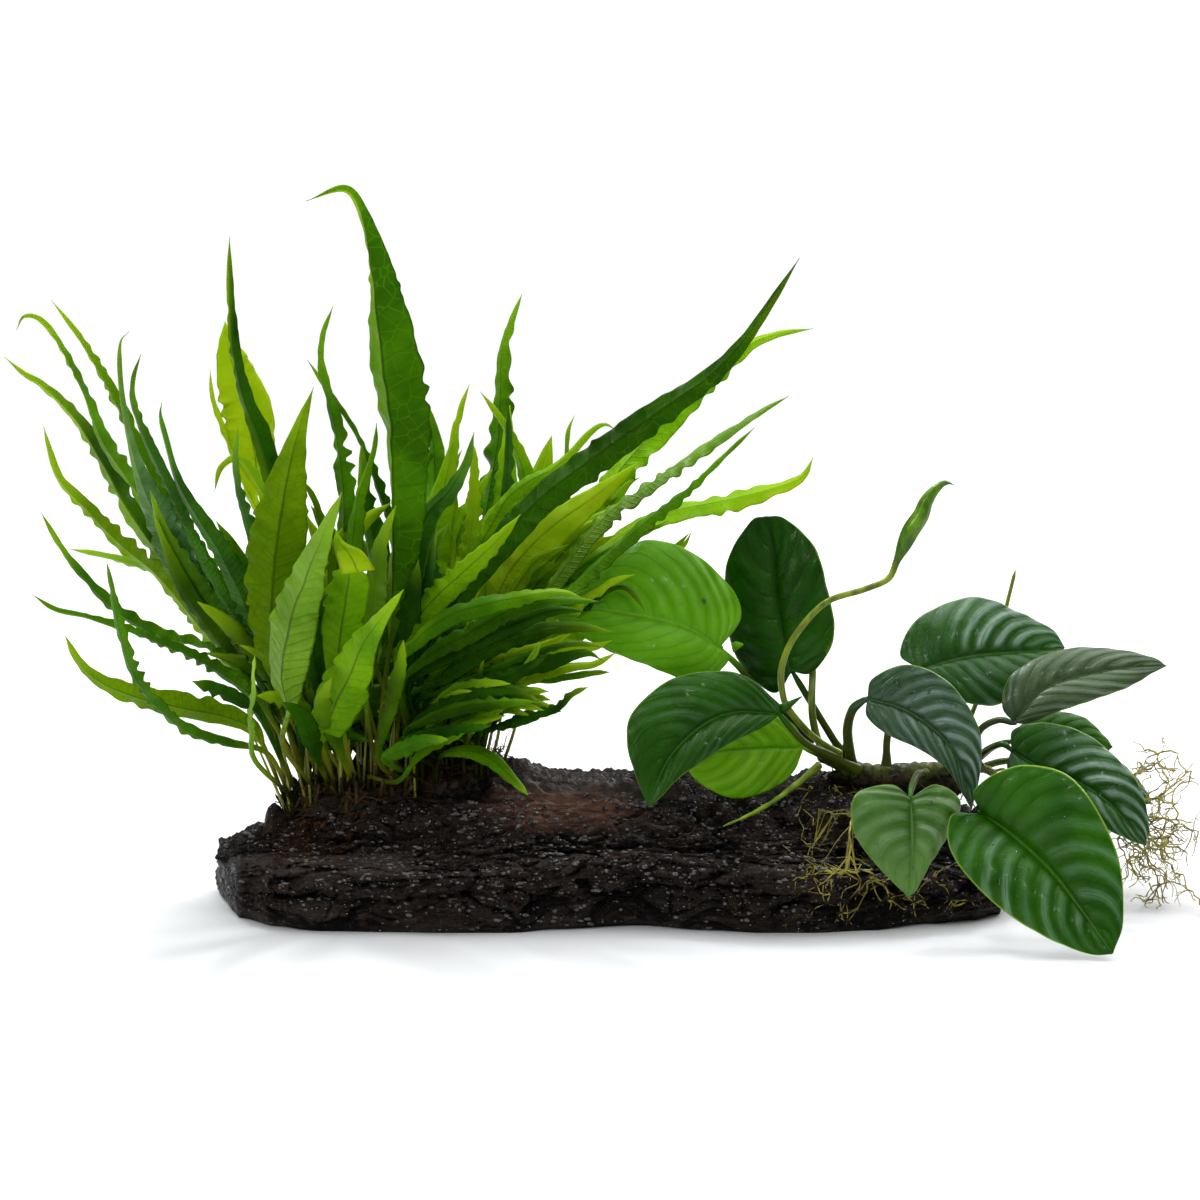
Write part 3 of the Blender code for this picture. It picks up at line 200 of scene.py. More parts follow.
# Inner fronds that show between the larger ones: the same words as above.
INNER_FRONDS = (
    grown((-56, 15.5), ((-54, 80), (-51, 110), (-50, 133.5), (-48.5, 164.5), (-47, 170.5), (-46, 175),
        (-43.5, 182)), 34, 5, (15, 30), "light"),
    grown((-52, 16.5), ((-49, 80), (-46, 106.5), (-43, 130), (-42, 146), (-42, 160), (-43.5, 162.5)), 30,
        6.5, (0, 20), "light"),
    grown((-50, 17.5), ((-43, 80), (-37, 110), (-32.5, 133.5), (-30.5, 153.5), (-30.5, 175)), 22, 5,
        (10, 20), "blue"),
    grown((-50, 17.5), ((-43, 80), (-37, 110), (-32, 137), (-31, 157), (-30, 175)), 44, 10, (10, 20),
        "light"),
    grown((-60, 14.5), ((-60, 80), (-58, 107), (-55, 130), (-51, 150), (-48, 166.5)), 30, 13, (0, 20),
        "light"),
    grown((-46, 18.5), ((-38, 80), (-30, 107), (-23, 130), (-18.5, 150), (-16, 164.5)), 46, 10, (15, 25),
        "light"),
    grown((-42, 19.5), ((-30, 80), (-17.5, 110), (-12.5, 137.5), (-10.5, 144.5), (-11, 159), (-10.5, 166.5),
        (-8.5, 171.5)), 48, 2.2, (20, 40), "mid"),
    grown((-42, 19.5), ((-30, 80), (-14, 110), (-3, 130), (8, 147), (13.5, 151)), 40, 9, (20, 30), "light"),
    grown((-46, 13.5), ((-43, 80), (-33, 113), (-20, 130), (-3, 143), (13, 156)), 14, 14, (10, 20),
        "bright"),
    grown((-48, 12.5), ((-49, 80), (-50, 106.5), (-56.5, 119.5), (-55.5, 127.5), (-50, 136)), -4, 9,
        (0, 25), "blue"),
    grown((-58, 10.5), ((-60, 80), (-59.5, 102.5), (-58.5, 113.5), (-56.5, 123.5), (-54.5, 133.5)), -8, 8,
        (10, 30), "blue"),
    grown((-60, 7), ((-67.5, 88.5), (-61.5, 101.5), (-53.5, 111.5), (-42.5, 121.5), (-33.5, 130.5),
        (-26.5, 138.5)), -22, 9.5, (0, 20), "light", shades=(0.42, 0.3)),
    grown((-62, 6), ((-67.5, 86), (-60.5, 96.5), (-50.5, 104), (-40, 107.5), (-26.5, 110.5), (-13.5, 112.5),
        (-5.5, 110.5)), -50, 7.5, (20, 35), "mid", shades=(0.42, 0.3)),
    grown((-60, 6.5), ((-66, 80), (-56.5, 91.5), (-43.5, 98.5), (-31.5, 105.5), (-18.5, 109.5), (0, 109.5)),
        -46, 7, (15, 30), "mid", shades=(0.4, 0.25)),
    grown((-56, 8.5), ((-64, 80), (-53.5, 89.5), (-40, 96.5), (-26.5, 102.5), (-14.5, 106.5), (-5, 106)),
        -40, 6, (10, 25), "dark"),
    grown((-54, 9.5), ((-64, 76.5), (-51.5, 83.5), (-36.5, 93.5), (-23.5, 99), (-9.5, 101), (4, 99.5)), -30,
        6, (10, 25), "dark"),
    grown((-52, 10.5), ((-61.5, 75), (-48.5, 80), (-33.5, 86), (-22.5, 88), (-15.5, 89.5), (-7.5, 92),
        (-3, 92), (0.5, 90)), -34, 7, (5, 20), "dark", wave=1.6),
    grown((-50, 12.5), ((-60, 74), (-43.5, 80), (-26.5, 87.5), (-13.5, 94), (-2, 94.5), (4, 96.5)), -8, 8,
        (0, 20), "light"),
    grown((-50, 12.5), ((-58.5, 73.5), (-40, 78.5), (-23.5, 84), (-10, 87.5), (-2, 88.5), (5.5, 92.5)), -20,
        4.5, (10, 20), "olive"),
    grown((-48, 12.5), ((-58.5, 75), (-40, 85), (-26.5, 90.5), (-14, 94.5), (-7.5, 95.5), (1.5, 94.5)), -36,
        2.6, (10, 25), "dark"),
    grown((-48, 13.5), ((-53.5, 76.5), (-40, 87.5), (-26.5, 92.5), (-17, 95.5), (-9.5, 99)), -24, 4,
        (10, 20), "light"),
    grown((-46, 11.5), ((-43.5, 65), (-33.5, 74.5), (-25.5, 86), (-19.5, 96)), -30, 3.4, (0, 20), "pale"),
    grown((-50, 8.5), ((-53.5, 65), (-40, 71.5), (-30.5, 76.5), (-24, 79.5), (-17, 79.5)), -30, 5, (10, 20),
        "light"),
    grown((-50, 8.5), ((-60, 66.5), (-50, 75), (-36.5, 81.5), (-26.5, 86), (-17.5, 91.5)), -36, 6, (10, 25),
        "dark"),
    grown((-52, 7.5), ((-62.5, 67.5), (-53.5, 74), (-43.5, 78.5), (-31.5, 80), (-20, 79.5)), -40, 5.5,
        (15, 25), "dark"),
    grown((-54, 7), ((-65, 65), (-56.5, 70.5), (-45, 74), (-33.5, 75.5), (-21.5, 76)), -44, 5.5, (15, 25),
        "mid", shades=(0.4, 0.2)),
    grown((-56, 6.5), ((-66.5, 61.5), (-58.5, 65), (-48.5, 66.5), (-36.5, 68)), -46, 5, (15, 25), "dark"),
    grown((-62, 4.5), ((-71.5, 56.5), (-65, 60.5), (-58.5, 63), (-50.5, 63.5)), -48, 5.5, (0, 15), "mid"),
    grown((-78, 3), ((-67.5, 49.5), (-60, 58.5), (-50, 65), (-40, 69.5), (-31.5, 71.5)), -30, 5, (10, 20),
        "mid"),
    grown((-103, 6.5), ((-113, 71), (-119, 76), (-127, 80), (-136, 83)), -40, 5.5, (0, 15), "dark",
        widest=0.7),
    grown((-88, 10.5), ((-90, 80), (-90, 110), (-93, 136), (-96.5, 146), (-100.5, 150.5)), -6, 5.5,
        (10, 30), "olive", shades=(0.6, 0.5)),
    grown((-86, 11.5), ((-90, 80), (-88.5, 110), (-85, 128.5), (-78.5, 136), (-69.5, 142.5)), 2, 12,
        (10, 20), "olive", shades=(0.62, 0.5)),
    grown((-76, 9.5), ((-78, 77), (-77, 97), (-75, 113), (-73, 128.5), (-68, 141.5)), -20, 9, (0, 25),
        "blue"),
    grown((-92, 5.5), ((-94, 56.5), (-98, 68.5), (-100.5, 72.5), (-106, 76)), -34, 7, (0, 10), "dark"),
    grown((-84, 5), ((-85, 55), (-90, 68.5), (-92.5, 76.5), (-89.5, 84)), -36, 7, (0, 10), "dark"),
    grown((-104, 4), ((-115, 56.5), (-116, 66.5), (-116.5, 72.5), (-115.5, 79), (-115.5, 85.5),
        (-115, 91.5)), -60, 2.4, (0, 60), "pale"),
    grown((-84, 9.5), ((-92, 77), (-95, 95), (-93, 110), (-91, 120)), -18, 9, (0, 20), "dark"),
    grown((-95, 12.5), ((-112, 77), (-127, 97), (-140, 117), (-149, 139)), 14, 7, (20, 40), "dark"),
    grown((-92, 11.5), ((-103.5, 76.5), (-112.5, 100), (-118.5, 116.5), (-122.5, 127.5), (-128, 136.5)), 8,
        11, (10, 30), "wet"),
    grown((-98, 11.5), ((-108.5, 75), (-121.5, 96.5), (-133.5, 113.5), (-143.5, 128.5), (-150, 146.5)), 16,
        9, (10, 40), "wet"),
    grown((-44, 20.5), ((-30, 80), (-4, 107), (17, 123), (27, 127.5), (30.5, 132.5)), 30, 6, (30, 40),
        "light"),
    grown((-42, 18.5), ((-27, 80), (-13.5, 100), (-6.5, 108.5), (0.5, 113.5), (5, 116.5), (11.5, 118.5)),
        -7, 4.5, (20, 30), "light", shades=(0.8, 0.6), wave=1.8),
    grown((-42, 17.5), ((-27, 80), (-15, 96.5), (-4, 107.5), (3.5, 113.5), (9.5, 113.5), (15, 106.5)), -6,
        1.8, (20, 30), "dark", wave=1.8),
    grown((-66, 3.5), ((-73.5, 56.5), (-69.5, 76.5), (-66.5, 87.5), (-65.5, 96.5)), -36, 6, (10, 20),
        "dark"),
    grown((-64, 9.5), ((-66.5, 76.5), (-65, 96.5), (-62.5, 110), (-60.5, 123.5)), -16, 9, (10, 20), "dark"),
    grown((-46, 15.5), ((-44, 80), (-33.5, 103.5), (-22.5, 121.5), (-15.5, 126), (-10.5, 128.5)), -2, 5.5,
        (10, 25), "olive"),
    grown((-48, 17.5), ((-50, 80), (-40, 110), (-31.5, 130), (-23.5, 143.5), (-16, 153.5)), 34, 11,
        (10, 25), "light"),
    grown((-52, 18.5), ((-53.5, 80), (-48.5, 110), (-40, 128.5), (-31.5, 141.5), (-22.5, 150)), 38, 12,
        (0, 25), "light", shades=(0.6, 0.5)),
    grown((-56, 18.5), ((-56.5, 80), (-53.5, 110), (-48.5, 126.5), (-43.5, 140), (-36, 153.5)), 42, 12,
        (0, 25), "light"),
    grown((-60, 17.5), ((-60, 80), (-58.5, 110), (-57.5, 130), (-53.5, 146.5), (-46, 160)), 40, 10, (0, 25),
        "pale"),
    grown((-72, 14.5), ((-72, 80), (-72, 110), (-74, 128.5), (-78, 143.5), (-79.5, 163.5)), 20, 9, (10, 30),
        "blue", shades=(0.6, 0.5)),
    grown((-44, 15.5), ((-40, 80), (-26.5, 106.5), (-13.5, 123.5), (0, 136.5), (13.5, 145)), 20, 10,
        (10, 30), "light", shades=(0.6, 0.4)),
    grown((-42, 15.5), ((-38, 80), (-23.5, 103.5), (-8.5, 118.5), (6.5, 128.5), (22.5, 136.5)), 26, 7,
        (20, 35), "mid", shades=(0.6, 0.4)),
)

# Crowds of inner fronds, each: how many, the feet's and the tips' spread, and their looks.
CROWDS = (
    dict(count=14, foot=((-66, -40), (12.5, 21.5)), across=(-52, 10), up=(116, 150), back=(10, 56),
         width=(5, 9), tones=("light", "bright", "light", "mid", "blue")),
    dict(count=40, foot=((-64, -40), (6.5, 19.5)), across=(-46, -8), up=(70, 104), back=(-34, 20),
         width=(2.6, 5.5), tones=("dark", "dark", "mid", "deep")),
    dict(count=9, foot=((-106, -84), (7.5, 17.5)), across=(-140, -114), up=(78, 112), back=(-20, 30),
         width=(5, 7.5), tones=("dark", "wet", "mid")),
    dict(count=20, foot=((-96, -50), (10.5, 21.5)), across=(-100, -50), up=(100, 142), back=(-4, 56),
         width=(6, 10), tones=("dark", "mid", "wet", "olive", "dark")),
    dict(count=16, foot=((-98, -48), (16.5, 23.5)), across=(-112, 4), up=(92, 146), back=(50, 70),
         width=(7, 11), tones=("light", "mid", "dark", "mid")),
    dict(count=44, foot=((-104, -44), (12.5, 23)), across=(-106, -36), up=(60, 92), back=(0, 34),
         width=(4, 8), tones=("dark", "deep", "dark", "dark")),
)
BARE_STIPES = 34
# Bare stipes that stand alone at the clump's right: the foot on the wood, and where the top is seen.
LONE_STIPES = (((-32.5, 22), (-26.5, 78, 28)), ((-38, 20), (-33, 72, 22)), ((-40, 18), (-35, 76, 20)),
               ((-42, 20), (-38.5, 74, 22)), ((-44, 16), (-40.5, 70, 16)))

# The anubias leaves of the part's source, with the number of side veins, the colour here and the painted
# sheen.
LEAVES = (
    dict(petiole=((71, 63, 13), (63, 71, 11), (53, 80, 8), (46, 88, 4)),
         midrib=((40, 94), (28, 101), (11, 105), (-3, 107), (-16, 105)),
         sides=(((47, 104), (44, 114), (30, 126), (14, 130), (-3, 118)),
                ((43, 90), (34, 83), (18, 87), (0, 94.7), (-11, 101))),
         depth=(1, 1), lean=(12, -9), veins=9, tone="fresh",
         sheen=(0.6, 0.1, 0.05, 0.55), sweep=0.42),
    dict(petiole=((79.5, 60.8, 15.5), (75, 68, 15), (69, 78, 15), (66, 83, 15)),
         midrib=((64, 86), (61, 101), (59, 114), (58, 127), (55, 138)),
         sides=(((58, 79), (47, 88), (41.5, 106), (42.5, 123), (50, 136)),
                ((71, 86), (78, 97), (76, 113), (72, 127), (62, 137))),
         depth=(14, 24), lean=(6, -2), veins=8, tone="scarred",
         sheen=(0.12, 0.12, 0.0, 1.0), sweep=0.2),
    dict(petiole=((84, 54.5, 0), (76, 58.7, -4), (68, 62.7, -8)),
         midrib=((60, 72), (45, 72.5), (34, 68), (23, 57), (16, 41)),
         sides=(((58, 77), (45, 86), (25, 84), (11, 73), (9, 62), (12, 51)),
                ((55, 68), (45, 63), (37, 58), (27, 51), (20, 44))),
         depth=(-12, -32), lean=(5, -6), veins=10, tone="deep",
         sheen=(0.5, 0.25, 0.1, 0.6), sweep=0.25),
    dict(petiole=((80, 54, 4), (74, 58, 2)),
         midrib=((68, 61), (55, 61), (42, 60), (27, 57)),
         sides=(((65, 68), (56, 73), (44, 74), (33, 68)),
                ((64, 52), (55, 46), (44, 44), (33, 49))),
         depth=(0, -8), lean=(6, -3), veins=8, tone="glow",
         sheen=(0.45, 0.45, 0.1, 0.9), sweep=0.3),
    dict(petiole=((95.5, 56.8, 12), (95.9, 65, 12), (99, 76, 16)),
         midrib=((107, 87), (122, 91), (136, 92.5), (147, 93), (155, 94)),
         sides=(((100, 92), (106, 103.8), (123, 111), (140, 106), (151, 100)),
                ((105, 82), (116, 77), (131, 75), (142, 80), (150, 89))),
         depth=(20, 28), lean=(10, -8), veins=10, tone="glossy",
         sheen=(1.0, 0.3, 0.44, 1.0), sweep=0.24),
    dict(petiole=((84, 55, 6), (82.5, 66, -2), (84, 73, -9), (87, 76, -12)),
         midrib=((89, 77), (100, 74), (111, 67), (119, 57), (124, 40)),
         sides=(((91, 84), (103, 88.5), (117, 82), (126, 68), (127, 54)),
                ((89, 71), (96, 65), (107, 60), (116, 53), (121, 45))),
         depth=(-14, -27), lean=(4, -3), veins=10, tone="steel",
         sheen=(0.8, 0.35, 0.3, 0.9), sweep=0.22, stout=1.4),
    dict(petiole=((124, 60, 8), (127, 67, 5), (133, 70, 2)),
         midrib=((138, 69), (145, 78), (154, 83), (172, 87), (189, 88)),
         sides=(((134, 75), (138, 86), (156, 94), (172, 93.5), (184, 91)),
                ((144, 69), (156, 74), (169, 78), (178, 82), (185, 86))),
         depth=(-2, 6), lean=(7, -6), veins=8, tone="grey",
         sheen=(0.42, 0.42, 0.2, 1.0), sweep=0.26),
    dict(petiole=((108, 52, 2), (106, 52, -18), (104, 48, -34)),
         midrib=((103.5, 44), (104, 34), (104, 23), (103, 11)),
         sides=(((97, 48.5), (85, 45), (84, 34), (91, 23), (99, 14.5)),
                ((112, 48.5), (120, 43), (116, 31), (110, 22), (106, 14))),
         depth=(-41, -47), lean=(-3, 2), veins=7, tone="young_and_sheen",
         sheen=(0.75, 0.6, 0.0, 0.6), sweep=0.3),
    dict(petiole=((127, 54, 6), (132, 51, -18), (131, 44, -36)),
         midrib=((127, 39), (137, 32), (150, 20), (161, 6), (171, -8)),
         sides=(((125, 47), (140, 55), (158, 50), (172, 27), (174.5, 4)),
                ((117, 38), (117, 26), (129, 11), (147, -1.7), (163, -8))),
         depth=(-42, -69), lean=(4, -5), veins=10, tone="rich",
         sheen=(0.24, 0.5, 0.25, 0.9), sweep=0.2),
    dict(petiole=((126, 57, 8), (129, 60, 0), (134, 62, -8)),
         midrib=((137, 60), (147, 54), (158, 50), (170, 42), (182, 28)),
         sides=(((138, 67), (150, 69), (166, 63), (179, 49), (183, 36)),
                ((136, 53), (144, 45), (156, 39), (168, 34), (176, 30))),
         depth=(-10, -26), lean=(6, -6), veins=9, tone="glossy",
         sheen=(0.95, 0.5, 0.35, 1.0), sweep=0.22),
    dict(petiole=((125, 56, 14), (131, 61, 14)),
         midrib=((137, 63), (149, 65), (161, 64), (171, 61)),
         sides=(((141, 69), (151, 73), (161, 71), (168, 65)),
                ((140, 59), (150, 57), (160, 56), (167, 58))),
         depth=(14, 14), lean=(6, -4), veins=7, tone="rich",
         sheen=(0.2, 0.2, 0.0, 1.0), sweep=0.2),
    dict(petiole=((124, 53, 18), (133, 56, 22)),
         midrib=((142, 57), (156, 56), (170, 52), (184, 42)),
         sides=(((144, 60), (157, 61), (171, 57), (181, 48)),
                ((143, 53), (156, 51), (168, 47), (178, 42))),
         depth=(26, 30), lean=(14, -12), veins=8, tone="deep",
         sheen=(0.2, 0.2, 0.0, 1.0), sweep=0.2),
)

LEAF_ARCH = 0.12
LOBE_FAN = 1.35
PETIOLE_RADIUS = 1.3

RHIZOME_PATH = ((73, 59, 14), (80, 56, 13), (87, 53, 12), (96, 52.5, 12), (105, 53, 12), (114, 53.5, 12),
                (122, 55, 12))
RHIZOME_RADIUS = 2.9
RHIZOME_RINGS = 120
STALK_RINGS = 110
STEM_RINGS = 60
PETIOLE_RINGS = 30
PETIOLE_SIDES = 14
LEAF_STUB_RADIUS = 0.9
LEAF_STUB = ((82, 55, 12.5), (81.4, 59, 9.5), (81, 62.5, 9))
OLD_PETIOLE = ((79, 56, 13), (73.5, 61.5, 9.5), (71, 70, 9.5), (70.6, 77, 11), (70.8, 84, 16.5),
               (71, 90, 20))
OLD_PETIOLE_RADIUS = 1.35
FELT_ROOTS = 190
STALK_PATH = ((80, 58.5, 6), (76, 61, 5), (69.7, 65.7, 3), (62.7, 74, 1), (60.7, 80, 0), (60.7, 88, 0),
              (65, 98, 0), (75, 109, 1), (88, 113.5, 3), (96, 117, 4), (99, 123, 5))
STALK_RADIUS = 1.1
BUD_PATH = ((99, 123, 5), (102, 129.5, 5), (104, 133.5, 5), (107, 138, 5), (109, 143, 5), (112, 147, 5),
            (115, 149, 5), (118, 148.5, 5))
BUD_RADII = (1.1, 2.4, 3.05, 3.1, 2.75, 2.2, 1.2, 0.35)
BUD_SIDES = 40
SHOOT_PATH = ((119, 60, 22), (127, 80, 33), (134, 102, 39), (136, 110, 40), (138.5, 120, 40))
SHOOT_RADIUS = 0.9
AERIAL_ROOT_PATH = ((73, 55, 6), (66, 49, -2), (58, 43, -10), (50, 38.5, -16), (41, 34.5, -21))
AERIAL_ROOT_RADIUS = 1.4
FRONT_ROOTS = (
    ((90, 48, -2), (86, 42, -16), (83, 33, -34), (85, 24, -40), (91, 16, -40), (87, 4, -38)),
    ((84, 38, -24), (77, 39, -26), (72, 41, -25)),
    ((84, 28, -39), (77, 24, -40), (69, 25, -41)),
    ((89, 19, -40.5), (83, 18, -41), (77, 19, -41)),
    ((90, 17, -40.5), (98, 17, -38), (104, 10, -37), (110, 7, -34)),
    ((91, 15, -40), (99, 9, -39), (104, 3, -37)),
)
TUFT_ROOTS = (
    ((128, 54, 10), (142, 52, 4), (156, 46, 2), (168, 43, 3), (180, 36, 4), (190, 22, -4), (200, 9, -14)),
    ((165, 43.5, 3), (176, 50, 8), (183, 54, 10), (187, 60, 12)),
    ((170, 43, 3), (182, 44, 0), (192, 49, -2), (197, 55, -3)),
    ((178, 38, 4), (187, 37, 8), (196, 34, 12), (199, 29, 13)),
    ((183, 33, 4), (182, 24, 0), (186, 17, -4), (184, 10, -6)),
    ((176, 39, 4), (173, 30, 6), (176, 21, 9), (171, 13, 12)),
)
# Where thinner roots cross the wood's face, as seen across and up.
CROSSING_ROOTS = ((62, 47), (70, 48), (78, 47.5), (86, 46), (118, 8), (112, 18), (104, 24), (96, 22))
# The middle of the tuft as seen, and the room that its thin roots stay in.
TUFT_CORE = (183, 32, 3)
TUFT_CORE_ROOTS = 90
TUFT_ROOM = (np.array((120, -34, 2)), np.array((203.5, 24, 62)))

# How many thin roots set out from the thick ones, from those thin ones, and across the wood's face.
FRONT_ROOTLETS = (90, 120, 46)
TUFT_ROOTLETS = (140, 190)

# The seeds of the random draws.
BARK_SEED = 41
FROND_SEED = 3
CROWD_SEED = 11
MAT_SEED = 5
LEAF_SEED = 8
FELT_SEED = 31
ROOT_SEED = 21
WATER_SEED = 17


def seen(across, up, back):
    """The point seen this far across and up in the front view, at this depth behind the middle."""
    target = VIEW_CENTRE + np.array((across, 0, 0)) + (up - VIEW_CENTRE_UP) * UPWARD
    return EYE + (target - EYE) * ((back - EYE[1]) / (target[1] - EYE[1]))


def unit(vectors):
    return vectors / np.maximum(np.linalg.norm(vectors, axis=-1, keepdims=True), 1e-9)


def ease(low, high, value):
    """0 below low, 1 above high, and smooth between."""
    t = np.clip((value - low) / (high - low), 0, 1)
    return t * t * (3 - 2 * t)


def lengths(points):
    """How far along its line each point lies."""
    return np.concatenate(([0], np.cumsum(np.linalg.norm(np.diff(points, axis=0), axis=1))))


def smooth(points, count):
    """Count points, evenly spaced along a smooth curve through these points."""
    points = np.asarray(points, float)
    spans = len(points) - 1
    ends = np.vstack((2 * points[0] - points[1], points, 2 * points[-1] - points[-2]))
    places = np.linspace(0, spans, 24 * spans + 1)
    i = np.minimum(places.astype(int), spans - 1)
    t = (places - i)[:, None]
    a, b, c, d = ends[i], ends[i + 1], ends[i + 2], ends[i + 3]
    dense = 0.5 * (2 * b + (c - a) * t + (2 * a - 5 * b + 4 * c - d) * t**2
                   + (3 * b - a - 3 * c + d) * t**3)
    run = lengths(dense)
    wanted = np.linspace(0, run[-1], count)
    return np.stack([np.interp(wanted, run, column) for column in dense.T], axis=1)


def tangents(points):
    return unit(np.gradient(points, axis=0))


def seen_line(places, count):
    """Count points along a smooth curve through places given as seen in the front view."""
    return smooth([seen(*place) for place in places], count)


def jitter(rng, size):
    """A random shift in millimetres."""
    return np.array([rng.gauss(0, size) for _ in range(3)])


def noisy(x, y, z):
    return noise.noise(Vector((x, y, z)))


def layer(first, second):
    """Two grids as the two coordinates of a surface layer."""
    return np.stack(np.broadcast_arrays(first, second), axis=2)


def both_faces(across):
    """Places across a blade's front face and back across its other face, and which face each is on."""
    count = len(across)
    top = np.array([1.0] * count + [-1.0] * (count - 2))
    top[0] = top[count - 1] = 0
    return np.concatenate((across, across[-2:0:-1]))[None, :], top[None, :]


def profile(count, radius, rings, shares):
    """The radii of this many rings: shares of a radius, given at some of the rings."""
    return radius * np.interp(np.arange(count), rings, shares)


class Batch:
    """Closed surfaces gathered for one piece, with two sets of surface coordinates."""

    def __init__(self):
        self.points = []
        self.faces = []
        self.place = []
        self.veins = []
        self.count = 0

    def rings(self, points, place=None, veins=None):
        """Adds a surface through rings of as many points each, closed at both ends."""
        rows, columns = points.shape[:2]
        k = np.arange(columns)
        j = np.roll(k, -1)
        for row in range(rows - 1):
            low = self.count + row * columns
            high = low + columns
            self.faces.extend(np.stack((low + k, low + j, high + j, high + k), axis=1).tolist())
        self.faces.append((self.count + k[::-1]).tolist())
        self.faces.append((self.count + (rows - 1) * columns + k).tolist())
        plain = layer(np.linspace(0, 1, rows)[:, None], (k / columns)[None, :])
        self.points.append(points.reshape(-1, 3))
        self.place.append((plain if place is None else place).reshape(-1, 2))
        self.veins.append((plain if veins is None else veins).reshape(-1, 2))
        self.count += rows * columns

    def piece(self, name, material, slot, *nodes):
        """Makes the gathered surfaces into one piece that rides on the root body."""
        mesh = bpy.data.meshes.new(name)
        mesh.from_pydata((np.concatenate(self.points) * METRES).tolist(), [], self.faces)
        mesh.polygons.foreach_set("use_smooth", np.ones(len(mesh.polygons), bool))
        corners = np.empty(len(mesh.loops), np.int32)
        mesh.loops.foreach_get("vertex_index", corners)
        for layer, values in (("UVMap", self.place), ("veins", self.veins)):
            made = mesh.uv_layers.new(name=layer)
            made.data.foreach_set("uv", np.concatenate(values)[corners].astype(np.float32).ravel())
        mesh.materials.append(material)
        piece = bpy.data.objects.new(name, mesh)
        bpy.context.scene.collection.objects.link(piece)
        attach(piece, "root")
        if nodes:
            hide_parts(*nodes)
        return piece


def tube_rings(centres, radii, sides=8, squash=1.0):
    """Rings of points around a line, carried along it without twist."""
    along = tangents(centres)
    side = np.cross(along[0], (0.3, 0.2, 0.9))
    rings = []
    angles = np.arange(sides) * math.tau / sides
    for centre, ahead, radius in zip(centres, along, radii):
        side = unit(side - side.dot(ahead) * ahead)
        other = np.cross(ahead, side)
        flat = np.cos(angles)[:, None] * side + squash * np.sin(angles)[:, None] * other
        rings.append(centre + radius * flat)
    return np.array(rings)


def single(name, material, slot, rings, *nodes):
    """Makes one closed surface into a piece of its own."""
    batch = Batch()
    batch.rings(rings)
    batch.piece(name, material, slot, *nodes)


# Shader nodes

def node(tree, kind, sockets=None, **settings):
    """A shader node with its settings and its inputs, each a value or another node's output."""
    made = tree.nodes.new(kind)
    for key, value in settings.items():
        setattr(made, key, value)
    for key, value in (sockets or {}).items():
        if isinstance(value, bpy.types.NodeSocket):
            tree.links.new(value, made.inputs[key])
        else:
            made.inputs[key].default_value = value
    return made


def calc(tree, operation, a, b=0.0, c=0.0):
    return node(tree, "ShaderNodeMath", {0: a, 1: b, 2: c}, operation=operation).outputs[0]


def times(tree, a, b):
    return calc(tree, "MULTIPLY", a, b)


def plus(tree, a, b):
    return calc(tree, "ADD", a, b)


def less(tree, a, b):
    return calc(tree, "SUBTRACT", a, b)


def mixed(tree, share, a, b, blend="MIX"):
    """Two colours mixed by a share."""
    a = (*a, 1) if isinstance(a, tuple) and len(a) == 3 else a
    b = (*b, 1) if isinstance(b, tuple) and len(b) == 3 else b
    made = node(tree, "ShaderNodeMix", {0: share, 6: a, 7: b}, data_type="RGBA", blend_type=blend)
    return made.outputs[2]


def ranged(tree, value, low, high, to_low=0.0, to_high=1.0):
    """A value moved smoothly from one range to another."""
    return node(tree, "ShaderNodeMapRange", {0: value, 1: low, 2: high, 3: to_low, 4: to_high},
                interpolation_type="SMOOTHSTEP").outputs[0]


def noised(tree, where, scale, detail=3.0, roughness=0.55):
    return node(tree, "ShaderNodeTexNoise", {"Vector": where, "Scale": scale, "Detail": detail,
                                             "Roughness": roughness}).outputs[0]


def darker(colour, share):
    return tuple(share * c for c in colour)


def pair(tree, a, b):
    """Two values as one place for a texture."""
    return node(tree, "ShaderNodeCombineXYZ", {0: a, 1: b}).outputs[0]


def gap_to(tree, where, place):
    """How far the surface is from a place, in metres."""
    return node(tree, "ShaderNodeVectorMath", {0: where, 1: place}, operation="DISTANCE").outputs["Value"]


def bumped(tree, height, strength, depth):
    """A surface direction that follows a height, with its depth in metres."""
    sockets = {"Strength": strength, "Distance": depth, "Height": height}
    return node(tree, "ShaderNodeBump", sockets).outputs[0]


def surfaced(tree, colour, rough, bump, more=None):
    """A surface of this colour, roughness and direction, with further inputs by name."""
    return node(tree, "ShaderNodeBsdfPrincipled",
                {"Base Color": colour, "Roughness": rough, "Normal": bump, **(more or {})}).outputs[0]


def new_material(name):
    made = bpy.data.materials.new(name)
    made.use_nodes = True
    made.node_tree.nodes.clear()
    return made, made.node_tree, node(made.node_tree, "ShaderNodeTexCoord").outputs["Object"]


def finished(made, surface):
    """The material with this surface."""
    node(made.node_tree, "ShaderNodeOutputMaterial", {0: surface})
    return made


def stretched(tree, where, scale):
    return node(tree, "ShaderNodeMapping", {0: where, 3: scale}).outputs[0]


def split_layer(tree, layer):
    """The two coordinates of a surface layer."""
    found = node(tree, "ShaderNodeUVMap", uv_map=layer).outputs[0]
    parts = node(tree, "ShaderNodeSeparateXYZ", {0: found})
    return parts.outputs[0], parts.outputs[1]


